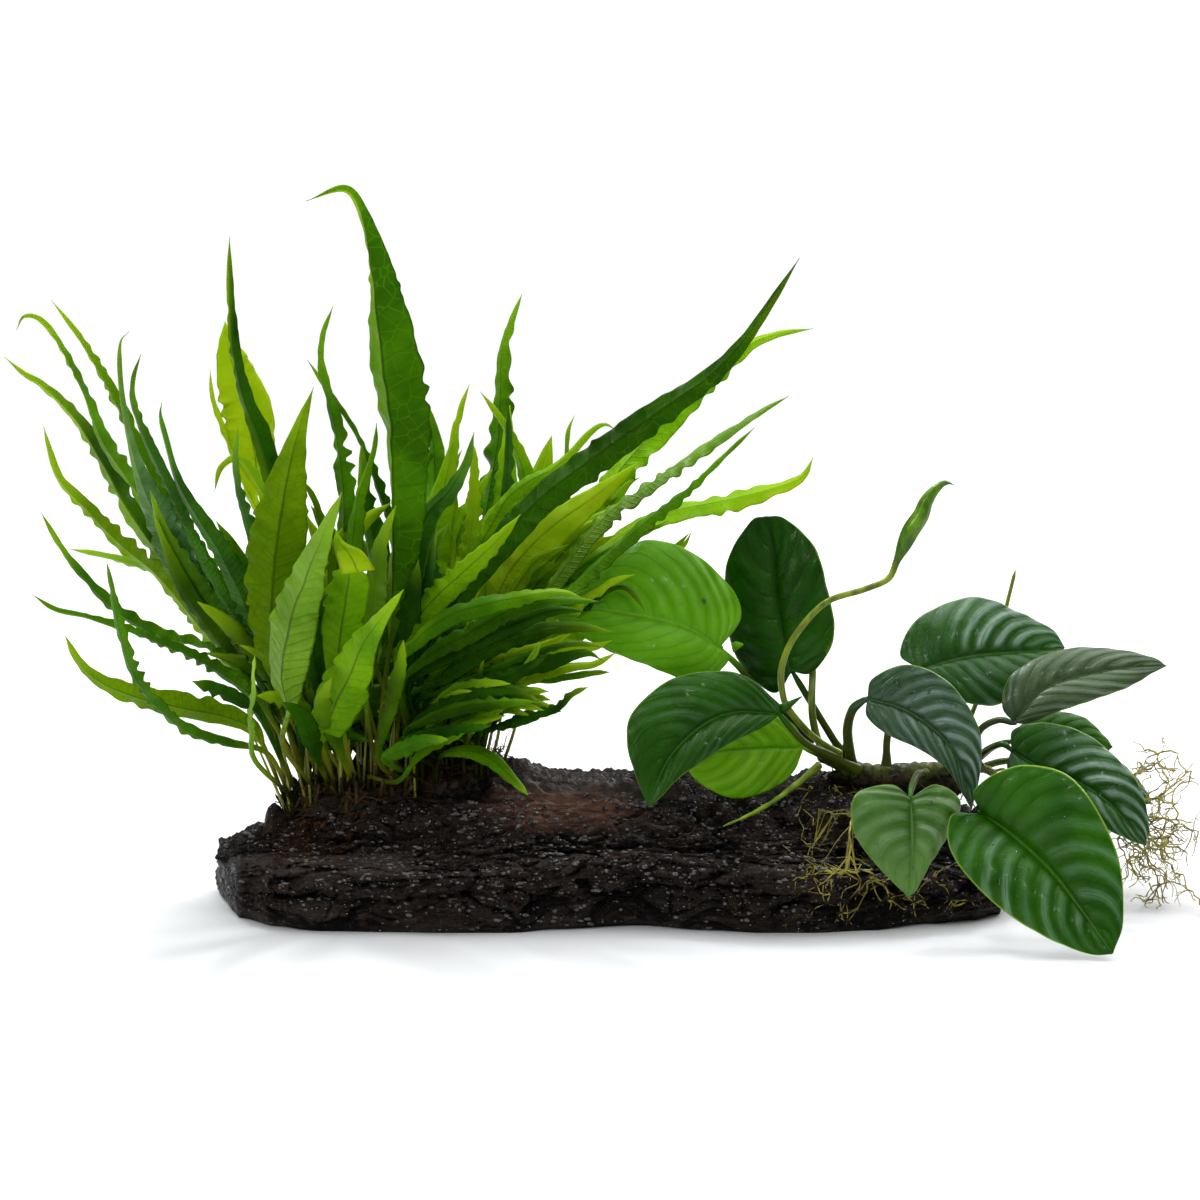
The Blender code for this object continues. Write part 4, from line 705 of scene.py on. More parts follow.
def painted_sheen_bands(tree, where, layers, wobble, off_rib, near_vein):
    """How strong the painted sheen is in pale bands between the side veins, and the fine hairs in them."""
    shade, phase, across = layers
    hair = noised(tree, pair(tree, times(tree, phase, 9.0), times(tree, across, 1.3)), 1.5, 3)
    crest = times(tree, ranged(tree, near_vein, 0.14, 0.46), ranged(tree, hair, 0.28, 0.62, 0.3, 1.0))
    cloud = ranged(tree, noised(tree, where, 38, 2), 0.32, 0.62, 0.35, 1.0)
    sided = times(tree, calc(tree, "SIGN", across), 7.0)
    lane = pair(tree, calc(tree, "FLOOR", plus(tree, phase, wobble)), sided)
    lanes = node(tree, "ShaderNodeTexWhiteNoise", {0: lane}, noise_dimensions="3D").outputs[0]
    cloud = times(tree, cloud, ranged(tree, lanes, 0.1, 0.9, 0.38, 1.15))
    inward = times(tree, ranged(tree, off_rib, 0.04, 0.2), shade)
    return times(tree, times(tree, crest, cloud), inward), hair


def spotted(tree, where, colour, fine, spots):
    """A leaf's colour with ragged scars, each a place and a radius in millimetres and a colour."""
    for place, radius, spot in spots:
        gap = gap_to(tree, where, tuple(METRES * c for c in place))
        ragged = plus(tree, gap, times(tree, less(tree, fine, 0.5), 0.004))
        mark = ranged(tree, ragged, 0.5 * METRES * radius, METRES * radius, 1.0, 0.0)
        colour = mixed(tree, mark, colour, spot)
    return colour


def stem_shaded_inward(tree, where, stem, shaded_stem):
    """The stems' colour, painted darker as shade inside the clump: at its right, at its back and low down.
    """
    parts = node(tree, "ShaderNodeSeparateXYZ", {0: where})
    inner = ranged(tree, parts.outputs[0], -0.088, -0.060)
    inner = calc(tree, "MAXIMUM", inner, ranged(tree, parts.outputs[1], 0.010, 0.016))
    inner = calc(tree, "MAXIMUM", inner, ranged(tree, parts.outputs[2], 0.038, 0.050, 1.0, 0.0))
    return mixed(tree, inner, stem, shaded_stem)


def leaf_material(name, dark, light, glow, through=0.35, rough=(0.36, 0.55), vein_light=0.0,
                  vein_dark=0.16, rib=(0.02, 0.045, 0.002), rib_share=0.6, rib_width=0.07, stem=None,
                  stem_reach=(0.10, 0.32), margin=None, margin_share=0.8, net=0.14, net_scale=420,
                  net_line=0.09, net_tint=None, patches=45, relief=0.5, spots=None, coat=0.0,
                  streaks=0.25, gloss=0.15, tint=(0.7, 1.0, 0.2), sunny=None, band=None, stem_in_shade=None):
    """A thin living leaf: patchy greens, side veins, a midrib, a fine net of veins and light through it.

    The second coordinate of the first layer is the painted light and shade on a fern, or the strength of
    the painted sheen bands on an anubias.
    """
    made, tree, where = new_material(name)
    along, shade = split_layer(tree, "UVMap")
    phase, across = split_layer(tree, "veins")
    off_rib = calc(tree, "ABSOLUTE", across)
    fine = noised(tree, where, 700, 2)
    colour = mixed(tree, ranged(tree, noised(tree, where, patches, 3), 0.35, 0.68), dark, light)
    wobble = times(tree, less(tree, noised(tree, where, 120, 2), 0.5), 0.4)
    near_vein = calc(tree, "PINGPONG", plus(tree, phase, wobble), 0.5)
    vein = ranged(tree, near_vein, 0.0, 0.16, 1.0, 0.0)
    streak = noised(tree, pair(tree, times(tree, phase, 3.0), across), 1.6, 3)
    calm = ranged(tree, along, 0.5, 0.82, 1.0, 0.05 if sunny else 1.0)
    streak_share = times(tree, calm, ranged(tree, streak, 0.45, 0.7, 0.0, streaks))
    colour = mixed(tree, streak_share, colour, light)
    between = ranged(tree, near_vein, 0.1, 0.5)
    colour = mixed(tree, times(tree, between, vein_light), colour, light)
    colour = mixed(tree, times(tree, vein, vein_dark), colour, darker(dark, 0.45))
    cells = node(tree, "ShaderNodeTexVoronoi", {"Vector": where, "Scale": net_scale},
                 feature="DISTANCE_TO_EDGE").outputs[0]
    mesh_line = ranged(tree, cells, 0.0, net_line, 1.0, 0.0)
    colour = mixed(tree, times(tree, mesh_line, net), colour, net_tint or darker(dark, 0.4))
    height = plus(tree, times(tree, vein, -0.7), times(tree, mesh_line, -0.25))
    rough_value = ranged(tree, noised(tree, where, 160, 2), 0.35, 0.65, *rough)
    # Sheen painted in pale bands between the side veins, as strong as the shade coordinate says.
    if band:
        crest, hair = painted_sheen_bands(tree, where, (shade, phase, across), wobble, off_rib, near_vein)
        colour = mixed(tree, crest, colour, band)
        height = plus(tree, height, times(tree, hair, 0.5))
        rough_value = less(tree, rough_value, times(tree, crest, 0.1))
    on_rib = ranged(tree, off_rib, 0.4 * rib_width, rib_width, rib_share, 0.0)
    colour = mixed(tree, on_rib, colour, rib)
    # Painted light and shade: the shade coordinate lightens the leaf towards the sunny colour above 0.5 and
    # darkens it below.
    if sunny:
        colour = mixed(tree, ranged(tree, shade, 0.5, 1.0, 0.0, 0.85), colour, sunny)
        colour = mixed(tree, ranged(tree, shade, 0.0, 0.5), darker(dark, 0.3), colour)
    if margin:
        colour = mixed(tree, ranged(tree, off_rib, 0.965, 0.992, 0.0, margin_share), colour, margin)
    if spots:
        colour = spotted(tree, where, colour, fine, spots)
    if stem:
        # Stems inside the clump are painted darker there, as shade.
        stem = stem_shaded_inward(tree, where, stem, stem_in_shade) if stem_in_shade else stem
        colour = mixed(tree, ranged(tree, along, *stem_reach, 1.0, 0.0), colour, stem)
    height = plus(tree, height, times(tree, fine, 0.1))
    height = times(tree, calm, plus(tree, height, times(tree, streak, 0.2)))
    bump = bumped(tree, height, relief, 0.0004)
    shader = surfaced(tree, colour, rough_value, bump,
                      {"Specular IOR Level": gloss, "Specular Tint": (*tint, 1), "Coat Weight": coat,
                       "Coat Roughness": 0.12})
    lit = mixed(tree, 1.0, mixed(tree, 1.0, colour, glow, "MULTIPLY"), MOST_THROUGH, "DARKEN")
    behind = node(tree, "ShaderNodeBsdfTranslucent", {"Color": lit, "Normal": bump}).outputs[0]
    return finished(made, node(tree, "ShaderNodeMixShader", {0: through, 1: shader, 2: behind}).outputs[0])


# The most light of each colour that passes through a leaf.
MOST_THROUGH = (0.62, 0.72, 0.3)
STEM_OLIVE = (0.27, 0.30, 0.02)
# The dark colour painted on the stems inside the clump as shade.
STEM_SHADED = (0.022, 0.030, 0.002)
# The yellow-green painted on fronds where they are lit or light comes through them.
SUNNY = (0.34, 0.56, 0.012)
FERN_TONES = {
    "dark": dict(dark=(0.008, 0.055, 0.0008), light=(0.032, 0.14, 0.0012), glow=(2.4, 2.0, 1.0)),
    "wet": dict(dark=(0.015, 0.088, 0.001), light=(0.055, 0.215, 0.003), glow=(2.0, 1.9, 1.0),
        through=0.25, rough=(0.26, 0.42), relief=0.6, gloss=0.25, tint=(0.7, 1.0, 0.35)),
    "deep": dict(dark=(0.014, 0.072, 0.0006), light=(0.030, 0.125, 0.0008), glow=(2.2, 1.9, 1.0),
        through=0.3, net=0.4, net_scale=200, net_line=0.03, net_tint=(0.10, 0.26, 0.01), relief=0.8),
    "cell": dict(dark=(0.040, 0.150, 0.0006), light=(0.085, 0.25, 0.0015), glow=(2.4, 1.9, 1.0),
        through=0.4, net=0.5, net_scale=175, net_line=0.04, net_tint=(0.14, 0.34, 0.008), relief=0.7),
    "blue": dict(dark=(0.03, 0.13, 0.007), light=(0.085, 0.25, 0.014), glow=(2.0, 1.9, 1.0),
        rough=(0.28, 0.45), gloss=0.3, tint=(0.75, 1.0, 0.55)),
    "mid": dict(dark=(0.045, 0.165, 0.0008), light=(0.115, 0.30, 0.002), glow=(2.4, 1.9, 1.0)),
    "olive": dict(dark=(0.12, 0.245, 0.0005), light=(0.19, 0.35, 0.001), glow=(2.2, 1.7, 1.0), net=0.3,
        net_scale=230, net_line=0.05),
    "light": dict(dark=(0.13, 0.32, 0.002), light=(0.24, 0.48, 0.006), glow=(2.2, 1.7, 1.0), through=0.42,
        net=0.3, net_scale=240, net_line=0.05),
    # This tone's pale bluish patches are painted wet sheen.
    "green_with_painted_sheen": dict(dark=(0.035, 0.135, 0.008), light=(0.17, 0.33, 0.13), glow=(1.8, 1.7, 1.0),
        through=0.25, rough=(0.26, 0.42), relief=0.7, gloss=0.3, tint=(0.85, 1.0, 0.9)),
    "pale": dict(dark=(0.14, 0.31, 0.006), light=(0.24, 0.45, 0.022), glow=(1.8, 1.6, 1.0), through=0.28,
        rough=(0.3, 0.45), gloss=0.3, tint=(0.8, 1.0, 0.6), relief=0.9),
    "bright": dict(dark=(0.24, 0.42, 0.003), light=(0.40, 0.58, 0.012), glow=(2.1, 1.7, 1.0), through=0.5,
        patches=70, net=0.25, net_scale=240, net_line=0.05),
}
# Each tone's band is the colour of the sheen painted in bands between its side veins.
ANUBIAS_TONES = {
    "fresh": dict(dark=(0.09, 0.27, 0.002), light=(0.16, 0.40, 0.008), glow=(2.0, 1.8, 1.0), through=0.42,
        rib=(0.24, 0.44, 0.05), vein_dark=0.2, rough=(0.26, 0.4), band=(0.36, 0.60, 0.15)),
    "deep": dict(dark=(0.006, 0.045, 0.0006), light=(0.018, 0.100, 0.002), glow=(2.0, 2.0, 1.0),
        through=0.15, rib=(0.05, 0.14, 0.02), band=(0.17, 0.29, 0.18)),
    "glossy": dict(dark=(0.006, 0.045, 0.0006), light=(0.018, 0.100, 0.002), glow=(2.0, 2.0, 1.0),
        through=0.15, rib=(0.05, 0.14, 0.02), band=(0.40, 0.54, 0.46), gloss=0.35,
        tint=(0.85, 1.0, 0.85)),
    "scarred": dict(dark=(0.005, 0.045, 0.0006), light=(0.015, 0.095, 0.001), glow=(2.0, 2.0, 1.0),
        through=0.25, rib=(0.004, 0.025, 0.0005), gloss=0.3, band=(0.03, 0.14, 0.03),
        spots=((seen(77, 95, 20), 7, (0.35, 0.5, 0.03)), (seen(75, 103, 20), 4, (0.2, 0.3, 0.02)))),
    "glow": dict(dark=(0.15, 0.37, 0.003), light=(0.28, 0.56, 0.015), glow=(1.7, 1.5, 1.0), through=0.5,
        rib=(0.10, 0.26, 0.01), vein_dark=0.2, streaks=0.5, band=(0.42, 0.68, 0.08)),
    "steel": dict(dark=(0.014, 0.050, 0.010), light=(0.035, 0.095, 0.028), glow=(1.6, 1.8, 1.0),
        through=0.1, rib=(0.06, 0.13, 0.04), gloss=0.45, tint=(0.9, 1.0, 0.95), streaks=0.4,
        band=(0.36, 0.47, 0.45)),
    "grey": dict(dark=(0.018, 0.045, 0.009), light=(0.045, 0.085, 0.022), glow=(1.6, 1.7, 1.0),
        through=0.1, rib=(0.05, 0.10, 0.03), gloss=0.4, tint=(0.9, 1.0, 0.9), streaks=0.5,
        band=(0.33, 0.40, 0.30)),
    # The young leaf's greens are pale, and partly greyed by painted sheen.
    "young_and_sheen": dict(dark=(0.035, 0.125, 0.012), light=(0.12, 0.25, 0.055), glow=(1.7, 1.6, 1.0),
        through=0.25, rib=(0.16, 0.32, 0.08), vein_dark=0.2, streaks=0.5, band=(0.36, 0.47, 0.30),
        gloss=0.4),
    "rich": dict(dark=(0.008, 0.065, 0.0006), light=(0.028, 0.135, 0.002), glow=(2.0, 1.9, 1.0),
        through=0.22, rib=(0.07, 0.19, 0.02), margin_share=1.0, band=(0.27, 0.46, 0.30)),
}


# What all anubias tones have in common.
ANUBIAS_LOOKS = dict(rough=(0.26, 0.38), vein_light=0.15, vein_dark=0.25, rib_share=0.75, rib_width=0.035,
                     margin=(0.22, 0.38, 0.02), margin_share=0.5, net=0.06, net_scale=520, patches=28,
                     relief=0.3, coat=0.06, stem=(0.05, 0.07, 0.005), stem_reach=(-0.3, -0.05), gloss=0.24,
                     tint=(0.72, 1.0, 0.45))


def fern_materials():
    return {tone: leaf_material(f"fern_{tone}", stem=STEM_OLIVE, stem_in_shade=STEM_SHADED, sunny=SUNNY, **looks)
            for tone, looks in FERN_TONES.items()}


def anubias_materials():
    """Every anubias tone's material. Its own looks come before the common ones."""
    return {tone: leaf_material(f"anubias_{tone}", **{**ANUBIAS_LOOKS, **looks})
            for tone, looks in ANUBIAS_TONES.items()}


def stem_material(name, dark, light, rings=0.0, rough=(0.25, 0.45), freckles=0.0):
    """A smooth or ringed green stem with long streaks."""
    made, tree, where = new_material(name)
    streak = noised(tree, stretched(tree, where, (140, 140, 60)), 1.0, 3)
    patch = noised(tree, where, 90, 3)
    colour = mixed(tree, ranged(tree, streak, 0.35, 0.65), dark, light)
    colour = mixed(tree, ranged(tree, patch, 0.55, 0.75, 0.0, 0.6), colour, darker(dark, 0.5))
    grain = noised(tree, where, 900, 2)
    colour = mixed(tree, ranged(tree, grain, 0.6, 0.72, 0.0, freckles), colour, (0.03, 0.018, 0.008))
    height = plus(tree, streak, times(tree, grain, 0.4))
    if rings:
        along = split_layer(tree, "UVMap")[0]
        steps = calc(tree, "PINGPONG", times(tree, along, rings), 0.5)
        line = ranged(tree, steps, 0.0, 0.12, 1.0, 0.0)
        colour = mixed(tree, times(tree, line, 0.6), colour, (0.025, 0.016, 0.008))
        height = less(tree, height, line)
    return finished(made, surfaced(
        tree, colour, ranged(tree, patch, 0.3, 0.7, *rough), bumped(tree, height, 0.4, 0.0003),
        {"Specular IOR Level": 0.35, "Specular Tint": (0.9, 1.0, 0.75, 1)}))


# Places on the wood in metres: the middle of the dry reddish place, and of the rusty one.
DRY_PLACE = (-0.012, -0.006, 0.036)
RUSTY_PLACE = (-0.098, -0.012, 0.034)


def wood_material(name):
    """Wet black-brown wood: long grain, glossy beaded crevices with painted glints, its hollows painted
    nearly black as shade, and one smooth dry reddish place.
    """
    made, tree, where = new_material(name)
    relief, kind = split_layer(tree, "veins")
    grain = noised(tree, stretched(tree, where, (22, 240, 240)), 1.0, 6, 0.65)
    hair = noised(tree, stretched(tree, where, (60, 900, 900)), 1.0, 4, 0.6)
    blotch = noised(tree, where, 55, 4)
    crumb = noised(tree, where, 420, 5, 0.7)
    colour = mixed(tree, ranged(tree, grain, 0.35, 0.68), (0.0072, 0.0050, 0.0042), (0.040, 0.0265, 0.0200))
    colour = mixed(tree, ranged(tree, hair, 0.52, 0.72, 0.0, 0.75), colour, (0.078, 0.054, 0.042))
    colour = mixed(tree, ranged(tree, kind, 0.25, 0.8, 0.0, 0.75), colour, (0.044, 0.0315, 0.0270))
    # Where the relief is low, in cracks and hollows, the colour is painted nearly black as shade.
    colour = mixed(tree, ranged(tree, relief, 0.34, 0.66, 0.98, 0.0), colour, (0.0005, 0.0004, 0.0004))
    colour = mixed(tree, ranged(tree, blotch, 0.54, 0.72, 0.0, 0.6), colour, (0.036, 0.0165, 0.0085))
    parts = node(tree, "ShaderNodeSeparateXYZ", {0: where})
    # The wood's left end is made darker.
    darker_left_end = times(tree, ranged(tree, parts.outputs[0], -0.124, -0.112, 1.0, 0.0),
                 ranged(tree, grain, 0.35, 0.6, 1.0, 0.6))
    colour = mixed(tree, darker_left_end, colour, (0.0125, 0.0088, 0.0074))
    offset = node(tree, "ShaderNodeVectorMath", {0: where, 1: DRY_PLACE}, operation="SUBTRACT").outputs[0]
    away = node(tree, "ShaderNodeVectorMath", {0: stretched(tree, offset, (1.0, 2.4, 3.2))},
                operation="LENGTH").outputs["Value"]
    away = plus(tree, away, times(tree, less(tree, grain, 0.5), 0.03))
    dry = ranged(tree, away, 0.016, 0.038, 1.0, 0.0)
    red = mixed(tree, ranged(tree, hair, 0.35, 0.65), (0.048, 0.023, 0.014), (0.165, 0.082, 0.056))
    colour = mixed(tree, times(tree, dry, 0.9), colour, red)
    rusty = times(tree, ranged(tree, gap_to(tree, where, RUSTY_PLACE), 0.008, 0.026, 1.0, 0.0),
                  ranged(tree, crumb, 0.5, 0.66))
    colour = mixed(tree, rusty, colour, (0.16, 0.058, 0.018))
    wet = ranged(tree, noised(tree, stretched(tree, where, (60, 150, 150)), 1.0, 3), 0.40, 0.60)
    rough = calc(tree, "MAXIMUM", plus(tree, times(tree, wet, 0.34), 0.14), times(tree, dry, 0.55))
    sway = node(tree, "ShaderNodeTexNoise", {"Vector": where, "Scale": 700.0, "Detail": 2.0})
    swayed = node(tree, "ShaderNodeVectorMath",
                  {0: sway.outputs["Color"], 1: (0.0022, 0.0022, 0.0022), 2: where},
                  operation="MULTIPLY_ADD").outputs[0]
    voronoi = node(tree, "ShaderNodeTexVoronoi", {"Vector": stretched(tree, swayed, (0.8, 1.8, 1.8)),
                                                  "Scale": 560.0})
    cells = voronoi.outputs["Distance"]
    chosen = node(tree, "ShaderNodeSeparateXYZ", {0: voronoi.outputs["Color"]}).outputs[0]
    dome = ranged(tree, cells, 0.05, 0.6, 1.0, 0.0)
    soaked = times(tree, ranged(tree, blotch, 0.40, 0.54, 0.25, 1.0), less(tree, 1.0, dry))
    # Painted glints: small blue-white spots over the wet places, stronger on raised relief.
    painted_glint = times(tree, ranged(tree, cells, 0.08, 0.20, 1.0, 0.0), ranged(tree, chosen, 0.45, 0.95))
    soaked = times(tree, soaked, ranged(tree, kind, 0.15, 0.6, 1.0, 0.12))
    painted_glint = times(tree, painted_glint, times(tree, soaked, ranged(tree, relief, 0.3, 0.55, 0.3, 1.0)))
    colour = mixed(tree, times(tree, soaked, 0.32), colour, (0.0035, 0.0028, 0.0028))
    colour = mixed(tree, painted_glint, colour, (0.90, 0.94, 1.0))
    height = plus(tree, times(tree, crumb, 0.9), times(tree, hair, 0.5))
    height = times(tree, height, ranged(tree, kind, 0.2, 0.8, 1.0, 0.5))
    height = plus(tree, height, times(tree, times(tree, dome, soaked), 0.45))
    return finished(made, surfaced(tree, colour, rough, bumped(tree, height, 1.0, 0.0016),
                                   {"Specular IOR Level": 0.13, "Specular Tint": (1.0, 0.9, 0.84, 1)}))


def fibre_material(name, dark, light, rough=(0.4, 0.7)):
    """Brown fibres and old leaf bases, from black to straw."""
    made, tree, where = new_material(name)
    patch = noised(tree, where, 130, 3)
    streak = noised(tree, where, 900, 3)
    colour = mixed(tree, ranged(tree, patch, 0.35, 0.65), dark, light)
    colour = mixed(tree, ranged(tree, streak, 0.4, 0.7, 0.0, 0.6), colour, darker(dark, 0.35))
    return finished(made, surfaced(tree, colour, ranged(tree, patch, 0.3, 0.7, *rough),
                                   bumped(tree, streak, 0.6, 0.0004), {"Specular IOR Level": 0.15}))


def bead_material(name):
    """Small beads of wet bark: black and very glossy."""
    made, tree, where = new_material(name)
    patch = noised(tree, where, 260, 2)
    colour = mixed(tree, ranged(tree, patch, 0.35, 0.65), (0.010, 0.007, 0.006), (0.10, 0.09, 0.088))
    return finished(made, surfaced(tree, colour, ranged(tree, patch, 0.3, 0.7, 0.05, 0.13),
                                   bumped(tree, patch, 0.3, 0.0002)))


def water_material(name):
    made, tree, where = new_material(name)
    bump = bumped(tree, noised(tree, where, 300, 1), 0.1, 0.0002)
    return finished(made, surfaced(tree, (0.95, 1.0, 0.97, 1), 0.03, bump,
                                   {"IOR": 1.33, "Transmission Weight": 1.0}))


# Driftwood

def at(values, x):
    """The value at x on the smooth line through the values at the driftwood's stations."""
    i = int(np.clip(np.searchsorted(WOOD_X, x, side="right") - 1, 0, len(WOOD_X) - 2))
    t = float(ease(0, 1, (x - WOOD_X[i]) / (WOOD_X[i + 1] - WOOD_X[i])))
    return values[i] + (values[i + 1] - values[i]) * t


def wood_outline(x):
    crest, ridge, front, back, lift = (
        at(values, x) for values in (WOOD_CREST, WOOD_RIDGE, WOOD_FRONT, WOOD_BACK, WOOD_LIFT))
    rise = crest - ridge
    depth = back - front
    return np.array((
        (front + 2, lift),
        (front + 1, lift + 0.2 * (ridge - lift)),
        (front, 0.6 * ridge),
        (front + 1.5, ridge - 2),
        (front + 0.1 * depth, ridge + 0.5),
        (front + 0.3 * depth, ridge + 0.2 * rise),
        (front + 0.52 * depth, ridge + 0.72 * rise),
        (front + 0.74 * depth, crest),
        (back - 0.1 * depth, crest - 0.15 * crest),
        (back, 0.55 * crest),
        (back - 1, 0.2 * crest),
        (back - 5, 0),
    ))


def ridged(x, y, z):
    return 1 - 2 * abs(noisy(x, y, z))


# The wood's cracks: how close they lie along the wood and around it, how deep in millimetres, how
# sharp, and a seed.
CRACKS = ((0.022, 0.62, 3.0, 0.80, 21.0), (0.045, 1.15, 2.4, 0.76, 37.0), (0.10, 2.3, 1.7, 0.66, 53.0))


def wood_relief(x, k, arc):
    """The driftwood's fine relief in millimetres, and how smooth it is there, from 0 to 1."""
    band = float(ease(2.2, 3.2, k) * (1 - ease(4.4, 5.4, k)) * (1 - ease(-70, -48, x)))
    worn = math.exp(-((x + 12) / 26) ** 2 - ((k - 8.2) / 2.4) ** 2)
    calm = min(1.0, 0.75 * band + worn)
    bend_x = x + 9 * noisy(0.05 * x, 0.5 * k, 5.0)
    bend_k = k + 0.7 * noisy(0.07 * x, 0.9 * k, 9.0)
    cracks = 0.0
    for close, around, depth, sharp, seed in CRACKS:
        cracks += depth * float(ease(sharp, 0.99, ridged(close * bend_x, around * bend_k, seed)))
    level = 3.4 * noisy(0.028 * bend_x, 0.55 * bend_k, 71.0)
    ledge = math.floor(level) + float(ease(0.3, 0.7, level - math.floor(level)))
    lumps = noisy(0.13 * x, 0.17 * arc, 31.0)
    knots = max(0.0, noisy(0.30 * x, 0.36 * arc, 13.0))
    crumbs = ridged(0.50 * x, 0.62 * arc, 41.0)
    grain = noisy(0.06 * x, 0.9 * arc, 51.0)
    rough = float(ease(-0.35, 0.25, noisy(0.03 * x, 0.5 * k, 91.0)))
    relief = 1.0 - cracks + 1.4 * ledge + 1.3 * lumps + 2.0 * knots + (0.5 + 0.9 * rough) * (crumbs - 0.4)
    return (relief + 0.8 * grain) * (1 - 0.65 * calm) + 0.35 * grain, calm


def wood_ring(x):
    """The driftwood's fine section at x, and the relief and smoothness of each of its points."""
    upper = smooth(wood_outline(x), WOOD_UPPER)
    arc = lengths(upper)
    outward = unit(upper - np.array((0, 14)))
    ring = []
    looks = []
    for n, (p, direction) in enumerate(zip(upper, outward)):
        k = WOOD_GRAIN_STEPS * n / (WOOD_UPPER - 1)
        inset = min(k, WOOD_GRAIN_STEPS - k, 3) / 3
        grain = noisy(0.018 * x, 0.9 * k, 3.0)
        grain += 0.5 * noisy(0.07 * x, 2.1 * k, 8.0)
        relief, calm = wood_relief(x, k, arc[n])
        moved = p + direction * (WOOD_GRAIN * grain * inset + relief * min(1, 2 * inset))
        ring.append((moved[0], max(moved[1], 0)))
        looks.append((float(np.clip(0.62 + 0.16 * relief, 0, 1)), calm))
    first, last = upper[0][0] + 3, upper[-1][0] - 2
    # The flat underside gets a low relief value, so the wood's material paints it nearly black as shade.
    for y in np.linspace(last, first, WOOD_UNDER):
        ring.append((y, 0))
        looks.append((0.3, 0))
    left_weight = max(0, 1 - (x - WOOD_X[0]) / 24)
    ring = np.array([(x - WOOD_END_SLANT * left_weight * y, y, z) for y, z in ring])
    return ring, np.array(looks)


def end_rings(ring, reach, count, seed):
    """Smaller and smaller rings that close an end of the wood with a rough, rounded break."""
    centre = ring.mean(axis=0)
    made = []
    for share in np.linspace(1, 0.02, count + 1)[1:]:
        shrunk = centre + (ring - centre) * share
        bulge = reach * math.sqrt(1 - share * share)
        for p in shrunk:
            p[0] += bulge + 1.1 * noisy(seed, 0.22 * p[1], 0.22 * p[2])
            p[0] += 0.5 * noisy(seed, 0.7 * p[1], 0.7 * p[2])
        shrunk[:, 2] = np.maximum(shrunk[:, 2], 0)
        made.append(shrunk)
    return made


def lumpy(rings, size, amount, seed):
    """Rings moved outward and inward by noise."""
    centres = rings.mean(axis=1, keepdims=True)
    out = unit(rings - centres)
    shift = Vector((seed, 0, 0))
    bumps = np.array([[noise.noise(Vector(p / size) + shift) for p in ring] for ring in rings])
    return rings + out * (amount * bumps)[..., None]


def driftwood(material):
    """The wood's fine body over its CAD solid, and a tree of its faces to lay other pieces on."""
    stations = np.linspace(WOOD_X[0], WOOD_X[-1], WOOD_SECTIONS)
    rings, looks = zip(*(wood_ring(x) for x in stations))
    rings, looks = list(rings), list(looks)
    left, right = end_rings(rings[0], *LEFT_BREAK), end_rings(rings[-1], *RIGHT_BREAK)
    ends = np.full((WOOD_UPPER + WOOD_UNDER, 2), (0.55, 0.2))
    rings = left[::-1] + rings + right
    looks = [ends] * len(left) + looks + [ends] * len(right)
    body = Batch()
    body.rings(np.array(rings), veins=np.array(looks))
    surface = BVHTree.FromPolygons(np.concatenate(body.points).tolist(), body.faces)
    for number, (foot, tip, radius) in enumerate(KNOBS):
        line = smooth((foot, np.add(foot, tip) / 2, tip), KNOB_RINGS)
        radii = profile(KNOB_RINGS, radius, (0, 8, 13, 15), (1.1, 0.75, 0.5, 0.12))
        knob = lumpy(tube_rings(line, radii, KNOB_SIDES), 2.5, 0.8, number)
        body.rings(knob, veins=np.full((KNOB_RINGS, KNOB_SIDES, 2), (0.5, 0.0)))
    body.piece("driftwood_wet", material, "driftwood", "driftwood")
    return surface


# The drifts of beads of wet bark: how many, where their middles lie across and up, and a bead's corners.
WET_CLUSTERS = 190
WET_ACROSS = (-124, 126)
WET_UP = (0, 50, 24)
WET_SIDES = 6


def wet_beads(surface, material):
    """Small dark glossy beads of wet bark, in drifts along the grain."""
    rng = random.Random(BARK_SEED)
    batch = Batch()
    angles = np.arange(WET_SIDES) * math.tau / WET_SIDES
    for _ in range(WET_CLUSTERS):
        middle = (rng.uniform(*WET_ACROSS), rng.triangular(*WET_UP))
        spread = rng.uniform(3, 12)
        for _ in range(rng.randint(5, 15)):
            across, up = middle[0] + rng.gauss(0, spread), middle[1] + rng.gauss(0, 0.3 * spread)
            direction = unit(seen(across, up, 0) - EYE)
            hit, normal = surface.ray_cast(Vector(EYE), Vector(direction))[:2]
            if hit is None:
                continue
            normal = np.array(normal)
            if normal.dot(direction) > 0:
                normal = -normal
            if normal[2] < -0.3:
                continue
            side = unit(np.cross(normal, (0.1, 0.4, 0.9)))
            other = np.cross(normal, side)
            size, stretch = rng.uniform(0.25, 0.75), rng.uniform(1.0, 2.4)
            flat = np.cos(angles)[:, None] * side * stretch + np.sin(angles)[:, None] * other
            rings = [np.array(hit) + normal * size * high + size * wide * flat
                     for high, wide in ((-0.5, 0.8), (0.1, 1.0), (0.5, 0.75), (0.72, 0.3))]
            batch.rings(np.array(rings))
    batch.piece("driftwood_wet_beads", material, "driftwood")


def ground(surface, x, y):
    """The height of the driftwood's upper surface over this place."""
    hit = surface.ray_cast(Vector((x, y, 120)), Vector((0, 0, -1)))[0]
    return hit.z if hit else 0.0


def draped(surface, across, up, lift, back):
    """The point on the wood's face seen this far across and up, or at that depth where no wood is."""
    aim = seen(across, up, 0.0)
    direction = unit(aim - EYE)
    hit = surface.ray_cast(Vector(EYE), Vector(direction))[0]
    if hit is None:
        return seen(across, up, back)
    return np.array(hit) - direction * lift


# Java fern

